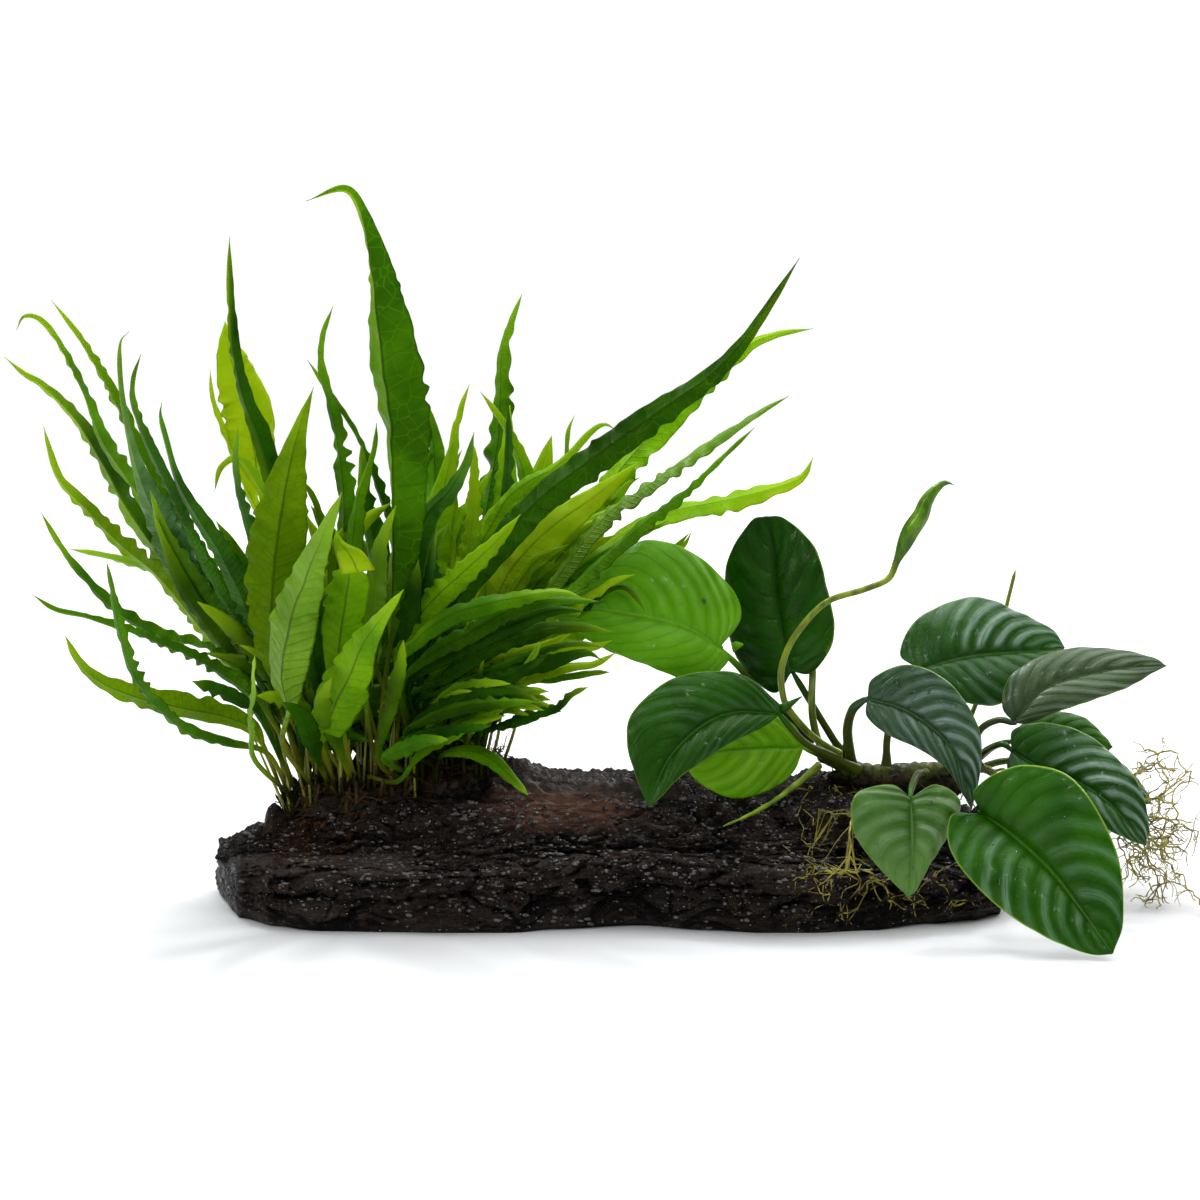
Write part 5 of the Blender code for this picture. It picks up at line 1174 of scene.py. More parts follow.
def blade_share(t, widest, taper, start):
    """The blade's share of its full width at t along the frond: 0 on the stipe and at the tip."""
    s = np.clip((t - start) / (1 - start), 0, 1)
    round_share = np.maximum(0, np.sin(math.pi * s ** (math.log(0.5) / math.log(widest))))
    return np.where(s < widest, round_share, round_share**taper)


def frond_path(frond, surface):
    """A frond's centre line from its foot to its tip, and how far below it the stipe goes on."""
    x, y = frond["foot"]
    low = ground(surface, x, y)
    foot = np.array((x, y, low + FOOT_HEIGHT))
    flat = np.array([(foot[0], foot[2])] + list(frond["path"]), float)
    run = lengths(flat)
    points = [foot]
    for (across, up), length in zip(frond["path"], run[1:]):
        points.append(seen(across, up, y + (frond["back"] - y) * length / run[-1]))
    return np.array(points), np.array((x, y, low + 1.0))


# How far apart a frond's rings are in millimetres, and where their points lie across it: the fronds with
# solids, the inner fronds and the crowds.
FRONT_SPACING = 1.05
INNER_SPACING = 1.3
CROWD_SPACING = 1.9
FINE_ACROSS = (1, 0.9, 0.7, 0.42, 0.14, 0, -0.14, -0.42, -0.7, -0.9, -1)
NARROW_ACROSS = (1, 0.82, 0.45, 0.0, -0.45, -0.82, -1)
CROWD_ACROSS = (1, 0.6, 0.0, -0.6, -1)


def wandering(run, size, seed):
    """A slow random line along a frond, about -1 to 1."""
    return np.array([1.7 * noisy(r / size, seed, 0.5) for r in run])


def two_sided(near, far, v):
    """One line for the side where v is above 0 and one for the other, as a grid."""
    return np.where(v > 0, near[:, None], far[:, None])


def add_frond(batch, frond, surface, rng, spacing=FRONT_SPACING, across=FINE_ACROSS):
    """Adds one frond: a thin stipe that widens into a long puckered blade with wavy margins."""
    path, base = frond_path(frond, surface)
    length = lengths(smooth(path, 60))[-1]
    count = int(length / spacing) + 2
    centres = smooth(path, count)
    t = np.linspace(0, 1, count)
    run = t * length
    along = tangents(centres)
    facing = unit(np.cross(along, FORWARD))
    outward = np.cross(facing, along)
    start, end = (math.radians(a) for a in frond["turn"])
    width = frond["width"]
    twist = 0.12 * np.sin(run / rng.uniform(14, 22) + rng.uniform(0, 6))
    twist = twist + 0.22 * min(1, 5 / width) * wandering(run, 7, rng.uniform(0, 90))
    turn = start + (end - start) * t + twist * ease(0.1, 0.3, t)
    side = facing * np.cos(turn)[:, None] + outward * np.sin(turn)[:, None]
    face = outward * np.cos(turn)[:, None] - facing * np.sin(turn)[:, None]
    start_from = BLADE_FROM if spacing == FRONT_SPACING else INNER_BLADE_FROM
    share = blade_share(t, frond.get("widest", 0.45), frond.get("taper", TIP_TAPER),
                        frond.get("start", start_from))
    tip = np.clip((1 - t) / 0.06, 0.12, 1)
    stipe = STIPE_WIDTH * (0.72 + 0.28 * ease(0, 0.25, t))
    half = 0.5 * (stipe * tip * (1 - share) + width * share)
    if "pinch" in frond:
        half = half * (1 - 0.8 * ease(frond["pinch"] - 0.06, frond["pinch"] + 0.02, t))
    lifted = half * frond.get("fold", PLAIN_FOLD) * np.minimum(1, 3 * share) * np.sin(turn)
    centres = centres + facing * lifted[:, None]
    v, top = both_faces(across)
    s, h, r = share[:, None], half[:, None], run[:, None]
    edge = np.abs(v)
    ripple = rng.uniform(4.2, 6.2) if width < 10 else rng.uniform(6, 9)
    seeds = [rng.uniform(0, 90) for _ in range(4)]
    size = frond.get("wave", 1.0)
    strength = two_sided(*(np.clip(0.6 + 1.3 * wandering(run, 13, seed), 0.1, 1.5)
                           for seed in seeds[:2]), v)
    drift = two_sided(*(2.2 * wandering(run, 10, seed) for seed in seeds[2:]), v)
    drift = drift + np.where(v > 0, *seeds[:2])
    jagged = two_sided(*(wandering(run, 3.1, seed) for seed in seeds[:2]), v)
    beaded = float(np.clip(0.7 / width, 0.03, 0.10))
    beads = beaded * (1 + 1.2 * ease(0.5, 0.9, t)[:, None]) * np.minimum(1, 1.5 * s)
    beads = beads * strength * np.sin(math.tau * r / ripple + drift)
    scallop = 1 + size * edge * (beads + 0.025 * s * jagged)
    wave = (0.35 + 0.07 * width) * strength * np.sin(math.tau * r / (1.07 * ripple) + drift + 1.3)
    wave = size * s**1.25 * edge**1.8 * (wave + (0.14 + 0.016 * width) * jagged)
    wave = wave + 0.035 * width * s * edge**2 * np.sin(math.tau * r / 31 + 2 * drift)
    step = frond.get("step", float(np.clip(0.24 * width, 1.8, 4.2)))
    rough = 2.0 if frond["tone"] == "wet" else 1.0
    phase = (r - 0.62 * edge * h) / step
    phase = phase + 0.25 * two_sided(*(wandering(run, 6, seed) for seed in seeds[2:]), v)
    # A small step between two rows of cells is dented less, because the rings of points can't follow it.
    dent = 0.13 * min(step, 4.5) * float(np.clip(0.7 * step / spacing - 1.1, 0.12, 1)) * rough
    pucker = dent * s**2 * (np.abs(np.sin(math.pi * phase)) - 0.5) * 4 * edge * (1 - edge)
    rib = -0.32 * np.exp(-((v * h / 0.55) ** 2)) * np.minimum(1, 3 * s)
    raised = h * frond.get("fold", PLAIN_FOLD) * edge * np.minimum(1, 3 * s)
    blade = ease(0.02, 0.25, s)
    thick = 0.5 * (0.55 - 0.25 * edge) * (1 - blade) + 0.5 * 0.5 * blade * (1 - 0.45 * edge)
    angle = np.arccos(np.clip(v, -1, 1)) * np.where(top < 0, -1, 1)
    round_side = h * np.cos(angle)
    round_face = 0.85 * np.minimum(h, 0.5 * STIPE_WIDTH) * np.sin(angle)
    flat_side = h * v * scallop
    flat_face = raised + wave + pucker + rib * np.where(top > 0, 0.6, 1.0) + top * thick
    sideways = round_side * (1 - blade) + flat_side * blade
    outwards = round_face * (1 - blade) + flat_face * blade
    rings = (centres[:, None, :] + side[:, None, :] * sideways[..., None]
             + face[:, None, :] * outwards[..., None])
    below = [rings[0] + (base - path[0]) * share_down for share_down in (1.0, 0.66, 0.33)]
    rings = np.concatenate((np.array(below), rings))
    # Painted light and shade on the blade: each half's shades, a lift for light and bright fronds, and
    # paler tips where light comes through; a random tone of the frond's own and a slow random wander are
    # added too.
    near, far = frond.get("shades", (0.5, 0.5))
    own_tone_and_light = rng.uniform(-0.09, 0.09) * (1.0 if spacing == FRONT_SPACING else 2.4)
    own_tone_and_light += 0.1 if frond["tone"] in ("light", "bright") else 0.0
    shade = np.where(v > 0.04, near, np.where(v < -0.04, far, 0.5 * (near + far))) + own_tone_and_light
    shade = shade + 0.28 * ease(0.72, 1.0, t)[:, None] + 0.06 * wandering(run, 16, seeds[0])[:, None]
    place = layer(t[:, None], np.clip(shade, 0, 1))
    veins = layer(phase + rng.randint(0, 50), v)
    place = np.concatenate((np.repeat(place[:1], 3, 0), place))
    veins = np.concatenate((np.repeat(veins[:1], 3, 0), veins))
    batch.rings(rings, place, veins)


# Folded scraps of leaf, each as rows from one margin to the other: (across, up, back) of both ends.
FOLDED_TIP = (((-88, 133.5, -41), (-87.6, 133, -41)), ((-88.8, 130, -42), (-84.8, 129.2, -43)),
              ((-88.4, 126, -43), (-79.8, 126.8, -45)), ((-87.2, 122, -43), (-77, 123.6, -46)),
              ((-86.3, 118.5, -42), (-75, 120, -45)))
LEAF_FLAP = (((57.2, 75.2, -9), (57.6, 70.8, -9)), ((61, 75.6, -10), (61.2, 72.2, -10)),
             ((64.6, 77, -10.5), (64.6, 75, -10.5)), ((67.8, 78.2, -10), (67.6, 77.9, -10)))
LEAF_EAR = (((43.6, 95.6, 2), (44.3, 92.4, 2)), ((45.4, 96.2, 1), (46.6, 94, 1)),
            ((47.6, 95.6, 2), (47.9, 95, 2)))
# The scraps that belong to anubias leaves, by the leaf's number, and how far they bulge.
LEAF_SCRAPS = {1: (LEAF_EAR, 0.5), 3: (LEAF_FLAP, 0.8)}


def sheet(batch, rows, shade, bulge=1.2, thick=0.3, count=22, columns=9):
    """Adds a thin curved scrap of leaf through its rows, bulging towards the front."""
    near, far = (seen_line(margin, count) for margin in zip(*rows))
    v, top = both_faces(np.linspace(1, -1, columns))
    middle, half = 0.5 * (near + far), 0.5 * (near - far)
    arch = np.sin(math.pi * np.linspace(0.08, 1, count))[:, None] * (1 - v**2) * bulge
    arch = arch + 0.25 * np.sin(np.linspace(0, 9, count))[:, None] * v
    lift = arch + 0.5 * thick * top
    grid = middle[:, None, :] + half[:, None, :] * v[..., None] - FORWARD * lift[..., None]
    s = np.linspace(0.4, 0.95, count)[:, None]
    batch.rings(grid, layer(s, np.full(lift.shape, shade)), layer(6 * s, v))


def crowd_frond(group, surface, rng):
    """One frond of a crowd, with its foot, tip and looks drawn within the crowd's spread."""
    foot = (rng.uniform(*group["foot"][0]), rng.uniform(*group["foot"][1]))
    tip = np.array((rng.uniform(*group["across"]), rng.uniform(*group["up"])))
    low = np.array((foot[0], ground(surface, *foot) + 22))
    gap = tip - low
    arch = np.array((-0.12 * gap[0], 0.10 * abs(gap[0]) + 4))
    path = [tuple(low + gap * share + arch * math.sin(math.pi * share)) for share in (0.3, 0.55, 0.8, 1.0)]
    angle = rng.uniform(0, 55) * rng.choice((-1, 1))
    return dict(foot=foot, path=path, back=rng.uniform(*group["back"]), width=rng.uniform(*group["width"]),
                turn=(angle, angle + rng.uniform(-20, 30)), widest=rng.uniform(0.42, 0.6),
                fold=rng.uniform(0.1, 0.45), tone=rng.choice(group["tones"]))


def fern(surface, materials):
    """Every frond of the part's source as its own piece, then the crowd between them."""
    rng = random.Random(FROND_SEED)
    for number, frond in enumerate(FRONDS, start=1):
        batch = Batch()
        add_frond(batch, frond, surface, rng, across=FINE_ACROSS if frond["width"] >= 9 else NARROW_ACROSS)
        batch.piece(f"fern_blade_{number:02d}", materials[frond["tone"]], "fern_leaf",
                    f"fern_frond_{number:02d}")
    crowd = {tone: Batch() for tone in materials}
    for frond in INNER_FRONDS:
        add_frond(crowd[frond["tone"]], frond, surface, rng, INNER_SPACING, NARROW_ACROSS)
    sheet(crowd["bright"], FOLDED_TIP, 0.62)
    rng = random.Random(CROWD_SEED)
    for group in CROWDS:
        for _ in range(group["count"]):
            frond = crowd_frond(group, surface, rng)
            add_frond(crowd[frond["tone"]], frond, surface, rng, CROWD_SPACING, CROWD_ACROSS)
    for tone, batch in crowd.items():
        if batch.count:
            batch.piece(f"fern_inner_{tone}", materials[tone], "fern_leaf")


def mat_place(across, along):
    x = MAT_CENTRE[0] + along * math.cos(MAT_TURN) - across * math.sin(MAT_TURN)
    y = MAT_CENTRE[1] + along * math.sin(MAT_TURN) + across * math.cos(MAT_TURN)
    return x, y


def on_mat(rng, reach=1.0):
    """A random place on the rhizome mat."""
    angle, radius = rng.uniform(0, math.tau), reach * math.sqrt(rng.random())
    return mat_place(MAT_HALF_WIDTH * radius * math.sin(angle), MAT_HALF_LENGTH * radius * math.cos(angle))


def mat_rings(surface):
    """The mat's lumpy body on the wood."""
    rings = []
    for row in range(1, MAT_ROWS):
        a = math.pi * row / MAT_ROWS
        ring = []
        for column in range(MAT_COLUMNS):
            b = math.tau * column / MAT_COLUMNS
            x, y = mat_place(MAT_HALF_WIDTH * math.sin(a) * math.sin(b), MAT_HALF_LENGTH * math.cos(a))
            share = 0.5 * (1 + math.sin(a) * math.cos(b))
            lump = 1.7 * noisy(0.16 * x, 0.16 * y, 1) + 0.9 * noisy(0.5 * x, 0.5 * y, 4)
            ring.append((x, y, ground(surface, x, y) - 2.0 + share * (6.0 + lump)))
        rings.append(ring)
    return np.array(rings)


def creepers(batch, surface, rng):
    """Adds the creeping rhizomes on the mat."""
    for n in range(CREEPERS):
        start = on_mat(rng, 0.7)
        heading = MAT_TURN + rng.uniform(-0.7, 0.7)
        line = []
        for step in range(CREEPER_STEPS):
            x = start[0] + CREEPER_STEP * step * math.cos(heading + 0.25 * math.sin(1.3 * step + n))
            y = start[1] + CREEPER_STEP * step * math.sin(heading + 0.25 * math.sin(1.3 * step + n))
            if not -108 < x < -36 or not 0 < y < 26:
                break
            line.append((x, y, ground(surface, x, y) + 3.6 + 0.8 * math.sin(2 * step)))
        if len(line) > 2:
            radii = 1.7 + 0.3 * np.sin(np.arange(CREEPER_RINGS) * 1.4)
            batch.rings(lumpy(tube_rings(smooth(line, CREEPER_RINGS), radii, 10), 1.6, 0.5, n))


def old_bases(batch, surface, rng):
    """Adds the stubs of old leaves, none of them on the mat's right end."""
    for n in range(OLD_BASES):
        x, y = on_mat(rng, 1.0)
        if x > OLD_BASES_END:
            continue
        foot = np.array((x, y, ground(surface, x, y) + 1.5))
        height = rng.uniform(4, 9)
        lean = np.array((rng.uniform(-4, 4), rng.uniform(-5, 3), height))
        line = smooth((foot, foot + 0.5 * lean, foot + lean), 6)
        radii = rng.uniform(0.5, 1.0) * np.array((1.2, 1.1, 1.0, 0.9, 0.75, 0.4))
        batch.rings(lumpy(tube_rings(line, radii, 7), 1.2, 0.3, n))


def fibres(batch, surface, rng):
    """Adds thin brown fibres that wander over the mat."""
    for _ in range(FIBRES):
        x, y = on_mat(rng, 1.06)
        point = np.array((x, y, ground(surface, x, y) + rng.uniform(0.5, 5.5)))
        heading = np.array((rng.gauss(0, 1), rng.gauss(-0.3, 1), rng.gauss(0.25, 0.5)))
        line = [point]
        step = rng.uniform(1.0, 3.2)
        for _ in range(4):
            turned = np.array((rng.gauss(0, 0.5), rng.gauss(0, 0.5), rng.gauss(-0.08, 0.4)))
            heading = unit(heading + turned)
            point = point + step * heading
            point[2] = max(point[2], ground(surface, point[0], point[1]) + 0.3)
            line.append(point)
        batch.rings(tube_rings(smooth(line, 7), np.linspace(rng.uniform(0.14, 0.28), 0.06, 7), 4))


def bare_stipes(batch, surface, rng):
    """Adds the bare yellow stipes, between the fronds' feet and alone at the clump's right."""
    for _ in range(BARE_STIPES):
        x, y = rng.uniform(-106, -62), rng.uniform(2, 16)
        low = ground(surface, x, y) + 1
        height = rng.uniform(26, 48)
        lean = 0.42 * (x + 80) + rng.uniform(-3, 3)
        bend = rng.uniform(-2, 2)
        line = ((x, y, low), (x + 0.35 * lean + bend, y + rng.uniform(-2, 3), low + 0.5 * height),
                (x + lean, y + rng.uniform(-4, 6), low + height))
        batch.rings(tube_rings(smooth(line, 16), np.linspace(rng.uniform(0.5, 0.8), 0.35, 16), 8, 0.8))
    for (x, y), place in LONE_STIPES:
        low = ground(surface, x, y) - 0.5
        top = seen(*place)
        middle = 0.5 * (np.array((x, y, low)) + top) + np.array((0.8, 0, 0))
        batch.rings(tube_rings(smooth(((x, y, low), middle, top), 16), np.linspace(0.62, 0.5, 16), 8))


def fern_mat(surface, brown, fibre, stipe):
    """The fern's foot: creeping rhizomes, old leaf bases, brown fibres and bare yellow stipes."""
    rng = random.Random(MAT_SEED)
    body, loose, bare = Batch(), Batch(), Batch()
    body.rings(mat_rings(surface))
    creepers(body, surface, rng)
    body.piece("fern_rhizomes", brown, "fern_rhizome", "fern_rhizome_mat")
    old_bases(loose, surface, rng)
    fibres(loose, surface, rng)
    loose.piece("fern_fibres", fibre, "fern_rhizome")
    bare_stipes(bare, surface, rng)
    bare.piece("fern_stipes", stipe, "fern_leaf")


# Anubias

def leaf_line(line, ends, depth, lean):
    flat = np.array([ends[0], *line, ends[1]], float)
    run = lengths(flat)
    share = run / run[-1]
    backs = [depth[0] + (depth[1] - depth[0]) * t + lean * math.sin(math.pi * t) for t in share]
    return np.array([seen(*p, back) for p, back in zip(flat, backs)])


LEAF_ROWS = 90
HALF_LEAF_ACROSS = (1, 0.985, 0.95, 0.88, 0.79, 0.69, 0.58, 0.47, 0.36, 0.26, 0.17, 0.1, 0.05, 0.02)
LEAF_ACROSS = HALF_LEAF_ACROSS + (0,) + tuple(-a for a in reversed(HALF_LEAF_ACROSS))


def leaf_grid(leaf, rng):
    """One anubias blade as rings of points, with its surface coordinates and its upper face's direction."""
    ends = (leaf["midrib"][0], leaf["midrib"][-1])
    fine = 400
    midrib = smooth(leaf_line(leaf["midrib"][1:-1], ends, leaf["depth"], 0), fine + 1)
    margins = [smooth(leaf_line(side, ends, leaf["depth"], lean), fine + 1)
               for side, lean in zip(leaf["sides"], leaf["lean"])]
    whole = midrib[-1] - midrib[0]
    across = margins[0][fine // 2] - margins[1][fine // 2]
    sign = -1 if np.cross(across, whole).dot(FORWARD) > 0 else 1
    share = np.linspace(0.006, 0.997, LEAF_ROWS)

    def pick(line, places):
        steps = np.arange(fine + 1)
        return np.stack([np.interp(places * fine, steps, column) for column in line.T], axis=1)

    rib, near, far = pick(midrib, share**LOBE_FAN), pick(margins[0], share), pick(margins[1], share)
    face = sign * unit(np.cross(near - far, whole))
    width = np.linalg.norm(near - far, axis=1)
    bow = 0.6 * LEAF_ARCH * width * np.sin(math.pi * share)
    v, top = both_faces(LEAF_ACROSS)
    s = share[:, None]
    edge = np.abs(v)
    target = np.where((v > 0)[..., None], near[:, None, :], far[:, None, :])
    flat = rib[:, None, :] + (target - rib[:, None, :]) * edge[..., None]
    phase = leaf["veins"] * (s - leaf["sweep"] * edge**1.5) + 0.35 * np.sign(v)
    size = width.max() / 40
    furrow = 0.6 * size * (np.abs(np.sin(math.pi * phase)) ** 0.8 - 0.4) * ease(0.0, 0.14, edge)
    furrow = furrow * (1 - 0.8 * ease(0.8, 1.0, edge)) * np.minimum(1, 8 * s) * np.minimum(1, 5 * (1 - s))
    shift = (rng.uniform(0, 6), rng.uniform(0, 6))
    wave = 1.0 * size * edge**3 * np.sin(math.tau * 2.6 * s + np.where(v > 0, *shift)) * np.sin(math.pi * s)
    wave = wave + 0.35 * size * edge**4 * np.sin(math.tau * 8.5 * s + np.where(v > 0, *shift))
    rib_dip = np.exp(-((edge * width[:, None] / 2 / 0.75) ** 2))
    height = bow[:, None] * 4 * edge * (1 - edge) + furrow + wave
    height = height - 0.5 * rib_dip * np.where(top > 0, 1.0, 2.4) * np.minimum(1, 6 * (1 - s))
    height = height + top * (0.42 - 0.25 * edge**4)
    return flat + face[:, None, :] * height[..., None], phase, v, s, face


def add_leaf(leaf, number, material, rng):
    """One anubias leaf: its petiole, its blade, and the points of its upper face."""
    grid, phase, v, s, face = leaf_grid(leaf, rng)
    # The strength of the painted sheen bands on each half and along the leaf.
    near, far, first, last = leaf["sheen"]
    sheen = np.where(v > 0, near, far)
    sheen = sheen * ease(first - 0.12, first + 0.1, s) * (1 - ease(last - 0.1, last + 0.12, s))
    batch = Batch()
    batch.rings(grid, layer(s, sheen), layer(phase + 20, v))
    line = [seen(*p) for p in leaf["petiole"]]
    if leaf["petiole"][0][1] < 62:
        line.insert(0, line[0] + 3.2 * unit(line[0] - line[1]))
    centres = smooth(line + [grid[0].mean(axis=0), grid[3].mean(axis=0)], PETIOLE_RINGS)
    thick = PETIOLE_RADIUS * leaf.get("stout", 1.0)
    t = np.linspace(0, 1, PETIOLE_RINGS)
    radii = thick * np.interp(t, (0, 0.15, 0.85, 1), (1.6, 1.0, 0.85, 0.45))
    down = layer(np.linspace(-1, 0.05, PETIOLE_RINGS)[:, None], np.zeros((PETIOLE_RINGS, PETIOLE_SIDES)))
    batch.rings(tube_rings(centres, radii, PETIOLE_SIDES), down, np.full(down.shape, (0.5, 0.5)))
    if number in LEAF_SCRAPS:
        rows, bulge = LEAF_SCRAPS[number]
        sheet(batch, rows, 0.0, bulge=bulge)
    batch.piece(f"anubias_blade_{number:02d}", material, "anubias_leaf", f"anubias_leaf_{number:02d}")
    return grid, face


def anubias_leaves(materials):
    rng = random.Random(LEAF_SEED)
    return [add_leaf(leaf, number, materials[leaf["tone"]], rng)
            for number, leaf in enumerate(LEAVES, start=1)]


def anubias_rhizome(ringed):
    """The ringed rhizome with its leaf stub."""
    batch = Batch()
    rings = np.abs(np.sin(np.arange(RHIZOME_RINGS) * math.pi / 7.5))
    radii = RHIZOME_RADIUS * (1 + 0.09 * rings - 0.05)
    radii = profile(RHIZOME_RINGS, radii, (0, 4, 115, 119), (0.6, 1, 1, 0.6))
    batch.rings(lumpy(tube_rings(seen_line(RHIZOME_PATH, RHIZOME_RINGS), radii, 28), 2.2, 0.5, 2))
    radii = profile(20, LEAF_STUB_RADIUS, (0, 4, 14, 19), (1.8, 1, 0.8, 0.15))
    batch.rings(lumpy(tube_rings(seen_line(LEAF_STUB, 20), radii, 12), 1.5, 0.25, 4))
    batch.piece("anubias_rhizome_ringed", ringed, "anubias_stem", "anubias_rhizome")


def anubias_felt(felted):
    """The felt of short roots that hangs under the rhizome."""
    rng = random.Random(FELT_SEED)
    felt = Batch()
    line = [(across, 50.5 + 1.5 * math.sin(across), 12) for across in range(76, 126, 6)]
    line = seen_line(line, STEM_RINGS)
    radii = profile(STEM_RINGS, 1, (0, 8, 52, 59), (1, 3.6, 4.2, 1))
    felt.rings(lumpy(tube_rings(line, radii, 20), 1.7, 1.6, 5))
    for _ in range(FELT_ROOTS):
        middle = line[rng.randint(0, STEM_RINGS - 1)] + jitter(rng, 1.6)
        hang = middle + np.array((rng.gauss(0, 3.5), rng.gauss(-2, 3), rng.uniform(-7, 1)))
        bend = 0.5 * (middle + hang) + jitter(rng, 1)
        radii = np.linspace(rng.uniform(0.2, 0.45), 0.1, 6)
        felt.rings(tube_rings(smooth((middle, bend, hang), 6), radii, 4))
    felt.piece("anubias_root_felt", felted, "anubias_root")


def anubias_flower(stalk_green, bud_green):
    """The flower stalk, and its closed bud with the edge that wraps around it."""
    line = seen_line(STALK_PATH, STALK_RINGS)
    radii = profile(STALK_RINGS, STALK_RADIUS, (0, 6, 100, 109), (1.5, 1.05, 0.95, 1.1))
    single("anubias_stalk", stalk_green, "anubias_stem", tube_rings(line, radii, 16),
           "anubias_flower_stalk")
    bud = seen_line(BUD_PATH, STEM_RINGS)
    swell = np.interp(np.linspace(0, len(BUD_RADII) - 1, STEM_RINGS), range(len(BUD_RADII)), BUD_RADII)
    swell = np.convolve(np.pad(swell, 4, mode="edge"), np.ones(9) / 9, mode="valid")
    swell[-6:] *= np.linspace(1, 0.25, 6)
    around = np.arange(BUD_SIDES) * math.tau / BUD_SIDES
    rings = tube_rings(np.concatenate((line[-3:-1], bud)), np.concatenate((radii[-3:-1], swell)), BUD_SIDES)
    middle = rings.mean(axis=1, keepdims=True)
    wrap = np.linspace(0.4, 2.6, len(rings))[:, None]
    lap = ((around[None, :] - wrap) % math.tau) / math.tau
    rings = middle + (rings - middle) * (0.90 + 0.16 * lap)[..., None]
    closed = Batch()
    closed.rings(rings, layer(np.linspace(0, 1, len(rings))[:, None], lap))
    closed.piece("anubias_bud", bud_green, "anubias_stem")


def anubias_stems(ringed, felted, stalk_green, bud_green, root_green):
    """The rhizome with its felt, the old petiole, the flower stalk, the shoot and the aerial root."""
    anubias_rhizome(ringed)
    radii = profile(40, OLD_PETIOLE_RADIUS, (0, 6, 36, 39), (1.7, 1, 0.9, 0.5))
    petiole = tube_rings(seen_line(OLD_PETIOLE, 40), radii, 14)
    single("anubias_old_petiole", stalk_green, "anubias_stem", petiole)
    anubias_felt(felted)
    anubias_flower(stalk_green, bud_green)
    radii = profile(STEM_RINGS, SHOOT_RADIUS, (0, 40, 57, 59), (1, 0.9, 0.7, 0.2))
    shoot = tube_rings(seen_line(SHOOT_PATH, STEM_RINGS), radii, 12)
    single("anubias_shoot_green", stalk_green, "anubias_stem", shoot, "anubias_shoot")
    radii = profile(STEM_RINGS, AERIAL_ROOT_RADIUS, (0, 15, 45, 59), (1, 0.8, 0.42, 0.2))
    root = lumpy(tube_rings(seen_line(AERIAL_ROOT_PATH, STEM_RINGS), radii, 12), 3, 0.25, 6)
    single("anubias_aerial_root_green", root_green, "anubias_root", root, "anubias_aerial_root")


def rootlets(batch, starts, count, rng, reach, radius, pull, surface=None, box=None):
    """Thin branching roots that set out from places on the thicker ones."""
    tips = []
    for _ in range(count):
        point, heading = rng.choice(starts)
        point = np.array(point, float)
        heading = unit(heading + jitter(rng, 0.9))
        steps = rng.randint(5, 9)
        step = rng.uniform(*reach) / steps
        line = [point]
        for _ in range(steps):
            heading = unit(heading + jitter(rng, 0.42) + np.array(pull))
            point = point + step * heading
            if box is not None:
                point = np.clip(point, box[0], box[1])
            if surface is not None:
                near, normal, _, gap = surface.find_nearest(Vector(point))
                above = (Vector(point) - near).dot(normal)
                if above < 0.35 or gap > 1.5:
                    wanted = np.array(near + normal * 0.4)
                    point = point + (wanted - point) * (1.0 if above < 0.35 else 0.35)
            line.append(point)
        line = np.array(line)
        centres = smooth(line, 2 * steps + 1)
        thin = radius * rng.uniform(0.6, 1.2)
        knots = 1 + 0.25 * np.sin(np.arange(len(centres)) * 2.1 + rng.uniform(0, 6))
        batch.rings(tube_rings(centres, thin * np.linspace(1, 0.45, len(centres)) * knots, 4))
        heads = tangents(line)
        tips.extend((line[k], heads[k]) for k in range(2, len(line), 2))
    return tips


def thick_roots(batch, roots, radius, wobble, seed, surface=None):
    """The thicker roots along their CAD lines, and places on them where thinner ones start."""
    starts = []
    for number, path in enumerate(roots):
        count = 14 * len(path)
        line = seen_line(path, count)
        bumps = np.array([[noise.noise(Vector(p / 3) + Vector((seed, 9 * axis, 0))) for axis in range(3)]
                          for p in line])
        line = line + wobble * bumps
        if surface is not None:
            for k, point in enumerate(line):
                near, normal, _, gap = surface.find_nearest(Vector(point))
                if gap < 9:
                    line[k] = near + normal * 0.5
            line = smooth(line[::3], count)
        radii = radius * (1.0 if number == 0 else 0.75) * np.linspace(1, 0.4, len(line))
        batch.rings(lumpy(tube_rings(line, radii, 8), 1.2, 0.15, seed + number))
        heads = tangents(line)
        starts.extend((line[k], heads[k]) for k in range(len(line) // 3, len(line), 2))
    return starts


